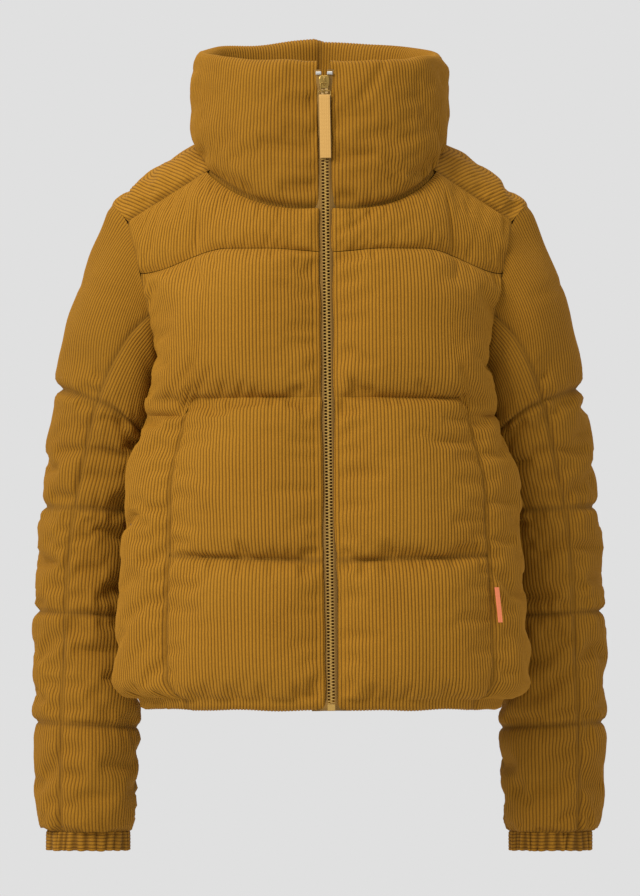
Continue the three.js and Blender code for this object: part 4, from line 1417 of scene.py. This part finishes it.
def makeCuff(side, tag):
    draw = np.random.default_rng(300 + side)
    edges = [0.0]
    around = 2 * math.pi * sum(cuffLook["half"]) / 2
    while edges[-1] < around:
        edges.append(edges[-1] + draw.uniform(4.5, 12))
    edges = np.array(edges) * around / edges[-1]
    turn = np.linspace(0, 2 * math.pi, cuffLook["columns"], endpoint=False)
    at = turn / (2 * math.pi) * around
    index = np.searchsorted(edges, at, side="right") - 1
    share = (at - edges[index]) / (edges[index + 1] - edges[index])
    strength = draw.uniform(0.55, 1.15, len(edges))[index]
    lobe = np.sin(np.pi * share) ** 0.75 * strength
    lean = draw.uniform(-0.04, 0.04, len(edges))[index]
    path = [(cuffLook["top"] - down, 0.0, down) for down in np.linspace(0, 20, 41)]
    path += [
        (-701.6 - 1.2 * math.sin(a), 2.2 * (1 - math.cos(a)), 21)
        for a in np.linspace(0.3, math.pi - 0.3, 6)
    ]
    path += [(up, 4.6, 22) for up in np.linspace(-700.5, -682, 8)]
    rows, ridges, shades = [], [], []
    for z, depth, down in path:
        wale = waleHeight(np.full(turn.shape, down / cuffLook["wale"] + 0.1))
        full = lobe * (0.35 + 0.65 * float(smooth(down / 6)))
        out = cuffLook["pleat"] * (full - 0.6) + 0.45 * (wale - 0.5) - depth
        angle = turn + lean * down / 10
        x = cuffLook["middle"][0] + (cuffLook["half"][0] + out) * np.cos(angle)
        y = cuffLook["middle"][1] + (cuffLook["half"][1] + out) * np.sin(angle)
        drop = -0.9 * lobe * float(smooth((down - 8) / 12))
        rows.append(vec(x * side, y, z + drop + 0.35 * ripple(at, 30, 310 + side) * (down > 0)))
        # Painted shade: the ridge colour dims in the dips between pleats, and the seam shade deepens at each
        # pleat's fold.
        ridges.append(wale * (0.4 + 0.6 * lobe))
        shades.append(np.minimum(share, 1 - share) * 9)
    grid = np.array(rows)
    quads = gridQuads(len(grid), grid.shape[1], closed=True)
    if side > 0:
        quads = [quad[::-1] for quad in quads]
    attributes = (("ridge", np.array(ridges).ravel()), ("seam", np.array(shades).ravel()))
    piece = dress(
        plainMesh(f"cuff_{tag}_corduroy", grid.reshape(-1, 3), quads, attributes), bodyCorduroy,
        "corduroy_shade"
    )
    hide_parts("cuff_" + tag)
    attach(piece, "sleeve_" + tag)


makeCuff(1, "left")
makeCuff(-1, "right")


# The zip, drawn in its own frame: z along it, -y toward the viewer of a worn jacket
zipLook = {"bottom": (12.0, -140.0, -560.0), "top": (4.5, -108.03, 82.0), "pitch": 3.2, "chainLow": 8.5,
           "chainHigh": 629.0,
           "face": 2.2, "back": 4.8}
zipStart = Vector(zipLook["bottom"])
zipLine = Vector(zipLook["top"]) - zipStart
zipTurn = np.array(Vector((0, 0, 1)).rotation_difference(zipLine.normalized()).to_matrix())


def inZip(points):
    return np.asarray(points, float) @ zipTurn.T + np.array(zipStart)


# Moulded acetal: even colour, a soft shine on rounded edges, a trace of mould grain.
def plasticMaterial(name, look):
    material, tree, shader = newMaterial(name)
    place = addNode(tree, "ShaderNodeTexCoord").outputs["Object"]
    grain = addNode(tree, "ShaderNodeTexNoise", {"Vector": place, "Scale": 700.0, "Detail": 2.0})
    share = addNode(
        tree, "ShaderNodeMapRange",
        {"Value": grain.outputs["Fac"], "From Min": 0.3, "From Max": 0.7, "To Max": 0.25}
    )
    colour = blendColours(tree, share.outputs[0], linear(look["base"]), linear(look["dark"]))
    tree.links.new(colour, shader.inputs["Base Color"])
    shader.inputs["Roughness"].default_value = look["roughness"]
    return material


# Plated die-cast zinc: warm plating with handling marks that break up the shine.
def metalMaterial(name, look):
    material, tree, shader = newMaterial(name)
    place = addNode(tree, "ShaderNodeTexCoord").outputs["Object"]
    marks = addNode(tree, "ShaderNodeTexNoise", {"Vector": place, "Scale": 350.0, "Detail": 4.0})
    rough = addNode(
        tree, "ShaderNodeMapRange",
        {
            "Value": marks.outputs["Fac"], "To Min": look["roughness"] - 0.1,
            "To Max": look["roughness"] + 0.15
        }
    )
    tree.links.new(rough.outputs[0], shader.inputs["Roughness"])
    shader.inputs["Base Color"].default_value = linear(look["base"])
    shader.inputs["Metallic"].default_value = 1.0
    return material


# Woven polyester tape: fine crossed yarns, drawn a little coarser than life so they hold at arm's
# length.
def wovenMaterial(name, look):
    material, tree, shader = newMaterial(name)
    place = addNode(tree, "ShaderNodeTexCoord").outputs["Object"]
    warp = addNode(
        tree, "ShaderNodeTexWave", {"Vector": place, "Scale": 170.0, "Distortion": 0.6},
        bands_direction="X"
    )
    weft = addNode(
        tree, "ShaderNodeTexWave", {"Vector": place, "Scale": 230.0, "Distortion": 0.6},
        bands_direction="Z"
    )
    yarn = addNode(
        tree, "ShaderNodeMath", {0: warp.outputs["Fac"], 1: weft.outputs["Fac"]}, operation="MULTIPLY"
    )
    share = addNode(tree, "ShaderNodeMapRange", {"Value": yarn.outputs[0], "To Min": 1.0, "To Max": 0.0})
    colour = blendColours(tree, share.outputs[0], linear(look["base"]), linear(look["dark"]))
    bump = addNode(tree, "ShaderNodeBump", {"Height": yarn.outputs[0], "Strength": 0.5, "Distance": 0.0003})
    tree.links.new(colour, shader.inputs["Base Color"])
    tree.links.new(bump.outputs[0], shader.inputs["Normal"])
    shader.inputs["Roughness"].default_value = look["roughness"]
    shader.inputs["Sheen Weight"].default_value = 0.1
    return material


acetal = plasticMaterial("moulded acetal teeth", {"base": "#ab863b", "dark": "#886827", "roughness": 0.42})
plating = metalMaterial("brass plated zinc slider", {"base": "#a58545", "roughness": 0.34})
steel = metalMaterial("polished steel stop", {"base": "#c8c6bf", "roughness": 0.25})
tapeWeave = wovenMaterial(
    "woven polyester zip tape", {"base": "#91691b", "dark": "#745211", "roughness": 0.8}
)
ribbonWeave = wovenMaterial("woven cotton ribbon", {"base": "#d0a256", "dark": "#b98b42", "roughness": 0.75})
tabWeave = wovenMaterial("damask tab", {"base": "#f08a5b", "dark": "#e0774a", "roughness": 0.7})
labelWeave = wovenMaterial("damask label", {"base": "#d8b477", "dark": "#c9a263", "roughness": 0.65})

toothOutline = ((3.7, -0.55), (1.6, -0.5), (0.9, -0.74), (-0.5, -0.74), (-0.95, -0.35),
                (-0.95, 0.35), (-0.5, 0.74), (0.9, 0.74), (1.6, 0.5), (3.7, 0.55))


# Rings are (y, inset share) from front to back; the outline lies in x and z.
def prism(outline, rings):
    flat = np.array(outline)
    middle = (flat.max(axis=0) + flat.min(axis=0)) / 2
    points = []
    for y, share in rings:
        ring = middle + (flat - middle) * share
        points += [(x, y, z) for x, z in ring]
    count = len(flat)
    faces = [tuple(range(count))]
    for level in range(len(rings) - 1):
        for i in range(count):
            j = (i + 1) % count
            a, b = level * count, (level + 1) * count
            faces.append((a + j, a + i, b + i, b + j))
    faces.append(tuple(reversed(range((len(rings) - 1) * count, len(rings) * count))))
    return np.array(points), faces


def joinParts(parts):
    points, faces, start = [], [], 0
    for part, partFaces in parts:
        points.append(part)
        faces += [tuple(start + i for i in face) for face in partFaces]
        start += len(part)
    return np.concatenate(points), faces


def flipped(faces):
    return [tuple(reversed(face)) for face in faces]


def slab(low, high, bevel=0.25):
    outline = ((low[0], low[2]), (high[0], low[2]), (high[0], high[2]), (low[0], high[2]))
    width = min(high[0] - low[0], high[2] - low[2])
    share = 1 - 2 * bevel / width
    return prism(outline, ((low[1], share), (low[1] + bevel, 1), (high[1] - bevel, 1), (high[1], share)))


def zipPiece(name, parts, material, slot, replaced, smoothed=False):
    points, faces = joinParts(parts)
    piece = plainMesh(name, inZip(points), faces)
    if not smoothed:
        piece.data.shade_flat()
    dress(piece, material, slot)
    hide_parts(*replaced)
    return piece


def tubeAlong(path, radius, sides=10, closed=True):
    path = np.array(path, float)
    ahead = unit(np.roll(path, -1, axis=0) - np.roll(path, 1, axis=0))
    if not closed:
        ahead[0], ahead[-1] = unit(path[1] - path[0]), unit(path[-1] - path[-2])
    side = unit(np.cross(ahead, np.array([0, 1, 0.001])))
    over = np.cross(side, ahead)
    turn = np.linspace(0, 2 * math.pi, sides, endpoint=False)
    points = path[:, None] + radius * (
        side[:, None] * np.cos(turn)[None, :, None] + over[:, None] * np.sin(turn)[None, :, None]
    )
    faces = []
    for i in range(len(path) if closed else len(path) - 1):
        a, b = i * sides, ((i + 1) % len(path)) * sides
        faces += [(a + k, a + (k + 1) % sides, b + (k + 1) % sides, b + k) for k in range(sides)]
    if not closed:
        faces += [tuple(reversed(range(sides))), tuple(range((len(path) - 1) * sides, len(path) * sides))]
    return points.reshape(-1, 3), faces


def roundedLoop(halfWidth, low, high, y, corner=1.6):
    steps = 5
    path = []
    for cx, cz, start in ((halfWidth - corner, low + corner, -90), (halfWidth - corner, high - corner, 0),
                          (corner - halfWidth, high - corner, 90), (corner - halfWidth, low + corner, 180)):
        for k in range(steps + 1):
            a = math.radians(start + 90 * k / steps)
            path.append((cx + corner * math.cos(a), y, cz + corner * math.sin(a)))
    return path


for side, tag in ((1, "left"), (-1, "right")):
    rings = (
        (zipLook["face"], 0.72), (zipLook["face"] + 0.4, 1), (zipLook["back"] - 0.4, 1),
        (zipLook["back"], 0.8)
    )
    points, faces = prism(toothOutline, rings)
    teeth = []
    start = zipLook["chainLow"] + (zipLook["pitch"] / 2 if side < 0 else 0)
    for z in np.arange(start, zipLook["chainHigh"], zipLook["pitch"]):
        moved = points * np.array([side, 1, 1]) + np.array([0, 0, z])
        teeth.append((moved, faces if side > 0 else flipped(faces)))
    piece = zipPiece("zip_teeth_" + tag, teeth, acetal, "zip_moulding", ["zip_chain_" + tag])
    bendFront(piece)
    columns = np.array([3.3, 3.7, 4.3, 4.8, 8.0, 12.0, 16.0, 19.5])
    bead = np.array([0.0, 0.35, 0.35, 0.0, 0, 0, 0, 0])
    levels = np.linspace(0.6, 640.5, 120)
    back = 6.0 * smooth((columns - 6.0) / 8)
    front = np.array(
        [
            [(x * side, 3.05 - lift + away, z) for x, lift, away in zip(columns, bead, back)]
            for z in levels
        ]
    )
    behind = front[:, ::-1] + vec(0, 0.9, 0)
    loop = np.concatenate([front, behind], axis=1)
    quads = cappedQuads(len(levels), loop.shape[1])
    part = (loop.reshape(-1, 3), quads if side > 0 else flipped(quads))
    piece = zipPiece("tape_" + tag, [part], tapeWeave, "zip_tape", ["zip_tape_" + tag], True)
    bendFront(piece)
    low, high = sorted((3.0 * side, 8.3 * side))
    stop = [slab((low, 1.6, 635.3), (high, 2.7, 638.3), 0.4)]
    bendFront(zipPiece("stop_" + tag, stop, steel, "stop_metal", ["top_stop_" + tag]))

plate = (
    (-3.6, 621.9), (3.6, 621.9), (4.9, 626.0), (5.0, 631.5), (4.2, 634.3), (-4.2, 634.3), (-5.0, 631.5),
    (-4.9, 626.0)
)
slider = [
    prism(plate, ((0.45, 0.86), (0.85, 1), (1.85, 1))), prism(plate, ((5.15, 1), (6.1, 1), (6.55, 0.86)))
]
slider.append(slab((-3.7, 1.2, 631.9), (3.7, 5.8, 634.6), 0.3))
arch = [
    (0, 0.7, 624.9), (0, -1.1, 625.2), (0, -2.3, 626.6), (0, -2.5, 629.0), (0, -2.1, 631.2),
    (0, -0.6, 632.4), (0, 0.7, 632.6)
]
slider.append(tubeAlong(arch, 0.85, closed=False))
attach(zipPiece("slider_body", slider, plating, "zip_metal", ["zip_slider"]), "slider")
puller = [
    tubeAlong(roundedLoop(3.5, 618.9, 627.0, -0.5), 0.5),
    tubeAlong(roundedLoop(6.3, 614.1, 618.9, -0.5, 1.2), 0.5)
]
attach(zipPiece("puller_wire", puller, plating, "zip_metal", ["zip_puller"], True), "puller")


def makeRibbon():
    path = [(-1.9, 551.8), (-2.0, 556), (-2.15, 575), (-2.2, 600), (-2.2, 611)]
    path += [
        (-0.5 - 1.7 * math.cos(a), 613.4 + 2.1 * math.sin(a)) for a in np.linspace(0.1, math.pi - 0.1, 9)
    ]
    path += [(1.2, 611), (0.2, 607), (-0.9, 604), (-1.15, 600), (-1.1, 575), (-1.0, 556), (-0.95, 551.8)]
    path = np.array(path)
    length = np.concatenate([[0], np.cumsum(np.linalg.norm(np.diff(path, axis=0), axis=1))])
    at = np.linspace(0, length[-1], 130)
    y, z = np.interp(at, length, path[:, 0]), np.interp(at, length, path[:, 1])
    tangent = unit(np.stack([np.gradient(y), np.gradient(z)], axis=1))
    x = np.linspace(-5.5, 5.5, 25)
    layers = []
    for depth in (0.0, 0.75):
        grid = np.zeros((len(at), len(x), 3))
        stitch = 0.16 * np.exp(-(((np.abs(x) - 4.5) / 0.35) ** 2))[None] * (
            0.4 + 0.6 * np.abs(np.sin(at / 1.3 * math.pi / 2))
        )[:, None]
        edge = 0.12 * smooth((np.abs(x) - 5.0) / 0.5)[None]
        inwardBy = depth + (stitch + edge) * (1 if depth == 0 else -1)
        grid[..., 0] = x[None] + 0.01 * (z[:, None] - 613) * -1.0
        grid[..., 1] = y[:, None] + tangent[:, 1:2] * inwardBy
        grid[..., 2] = z[:, None] - tangent[:, 0:1] * inwardBy
        layers.append(grid)
    front, back = layers
    loop = np.concatenate([front, back[:, ::-1]], axis=1)
    quads = cappedQuads(len(at), loop.shape[1])
    piece = zipPiece(
        "ribbon_band", [(loop.reshape(-1, 3), quads)], ribbonWeave, "ribbon", ["ribbon_pull"], True
    )
    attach(piece, "ribbon")


makeRibbon()
box = [slab((-3.9, 1.3, 0.5), (3.9, 5.7, 7.0), 0.5)]
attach(zipPiece("retainer", box, acetal, "zip_moulding", ["retainer_box"]), "front_left")
pin = [slab((-3.7, 2.6, 7.05), (-1.2, 4.4, 8.4), 0.3)]
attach(zipPiece("pin", pin, acetal, "zip_moulding", ["insertion_pin"]), "front_right")
print("zip built")


def makeTab():
    edge = wholeFront(np.full(12, 0.5), np.linspace(-437, -472, 12))
    out = -inward(edge)
    lean = np.linspace(0, 1.5, 12)
    rows = []
    for depth in (2.0, 2.9):
        for across in (-0.3, 4.6):
            rows.append(edge + out * depth + vec(across * 0.82 + lean, across * 0.45 - 1.2, 0))
    loop = np.stack([rows[0], rows[1], rows[3], rows[2]], axis=1)
    quads = cappedQuads(*loop.shape[:2])
    piece = plainMesh("tab_woven", settled(loop.reshape(-1, 3), 1), quads)
    piece.data.shade_flat()
    dress(piece, tabWeave, "tab")
    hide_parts("pocket_tab")
    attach(piece, "front_left")


makeTab()


def neckStrip(name, s, t, depth, thick, material, slot, bow=0.0):
    angles = np.linspace(-s, s, 21)
    heights = np.linspace(t[0], t[1], 9)
    point = mirrored(collarSurface(*np.broadcast_arrays(1 - np.abs(angles)[None], heights[:, None])), angles)
    towards = unit(vec(0, -10, 0) - point * vec(1, 1, 0))
    bowed = depth + bow * (1 - (angles / s) ** 2)[None]
    layers = [point + towards * bowed[..., None], point + towards * (bowed + thick)[..., None]]
    loop = np.concatenate([layers[0], layers[1][:, ::-1]], axis=1)
    quads = cappedQuads(*loop.shape[:2])
    piece = dress(plainMesh(name + "_woven", loop.reshape(-1, 3), quads), material, slot)
    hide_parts(name)
    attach(piece, "back_and_collar")


neckStrip("neck_label", 0.07, (0.32, 0.6), 19.5, 0.6, labelWeave, "ribbon")
neckStrip("hanger_loop", 0.12, (0.12, 0.19), 18.5, 1.6, tapeWeave, "zip_tape", 2.0)


# Studio
studio = {"grey": "#e0e0e0", "distance": 14.0, "plane": -0.07, "middle": (0.0005, -0.298), "height": 0.896}


def makeStudio():
    scene = bpy.context.scene
    world = bpy.data.worlds.new("studio")
    world.use_nodes = True
    world.node_tree.nodes["Background"].inputs["Color"].default_value = linear(studio["grey"])
    scene.world = world
    camera = bpy.data.cameras.new("camera")
    camera.sensor_width = 36
    camera.lens = 36 * studio["distance"] / studio["height"]
    camera.clip_end = 60
    holder = bpy.data.objects.new("camera", camera)
    holder.location = (studio["middle"][0], studio["plane"] - studio["distance"], studio["middle"][1])
    holder.rotation_euler = (math.pi / 2, 0, 0)
    scene.collection.objects.link(holder)
    scene.camera = holder
    scene.view_settings.view_transform = "Standard"
    for name, place, size, watts in (
        ("key", (-1.9, -2.2, 1.7), 1.2, 95), ("top", (-0.2, 0.3, 2.4), 1.6, 22)
    ):
        light = bpy.data.lights.new(name, "AREA")
        light.size = size
        light.energy = watts
        lamp = bpy.data.objects.new(name, light)
        lamp.location = place
        aim = Vector((0, 0, -0.3)) - Vector(place)
        lamp.rotation_euler = aim.to_track_quat("-Z", "Y").to_euler()
        scene.collection.objects.link(lamp)
    floor = bpy.data.meshes.new("floor")
    corners = [
        (1.4 * math.cos(a), 1.4 * math.sin(a), -0.95)
        for a in np.linspace(0, 2 * math.pi, 64, endpoint=False)
    ]
    floor.from_pydata(corners, [], [list(range(64))])
    ground = bpy.data.objects.new("floor", floor)
    scene.collection.objects.link(ground)
    material, _, shader = newMaterial("matt paper")
    shader.inputs["Base Color"].default_value = linear("#d8d8d8")
    shader.inputs["Roughness"].default_value = 0.95
    ground.data.materials.append(material)


makeStudio()
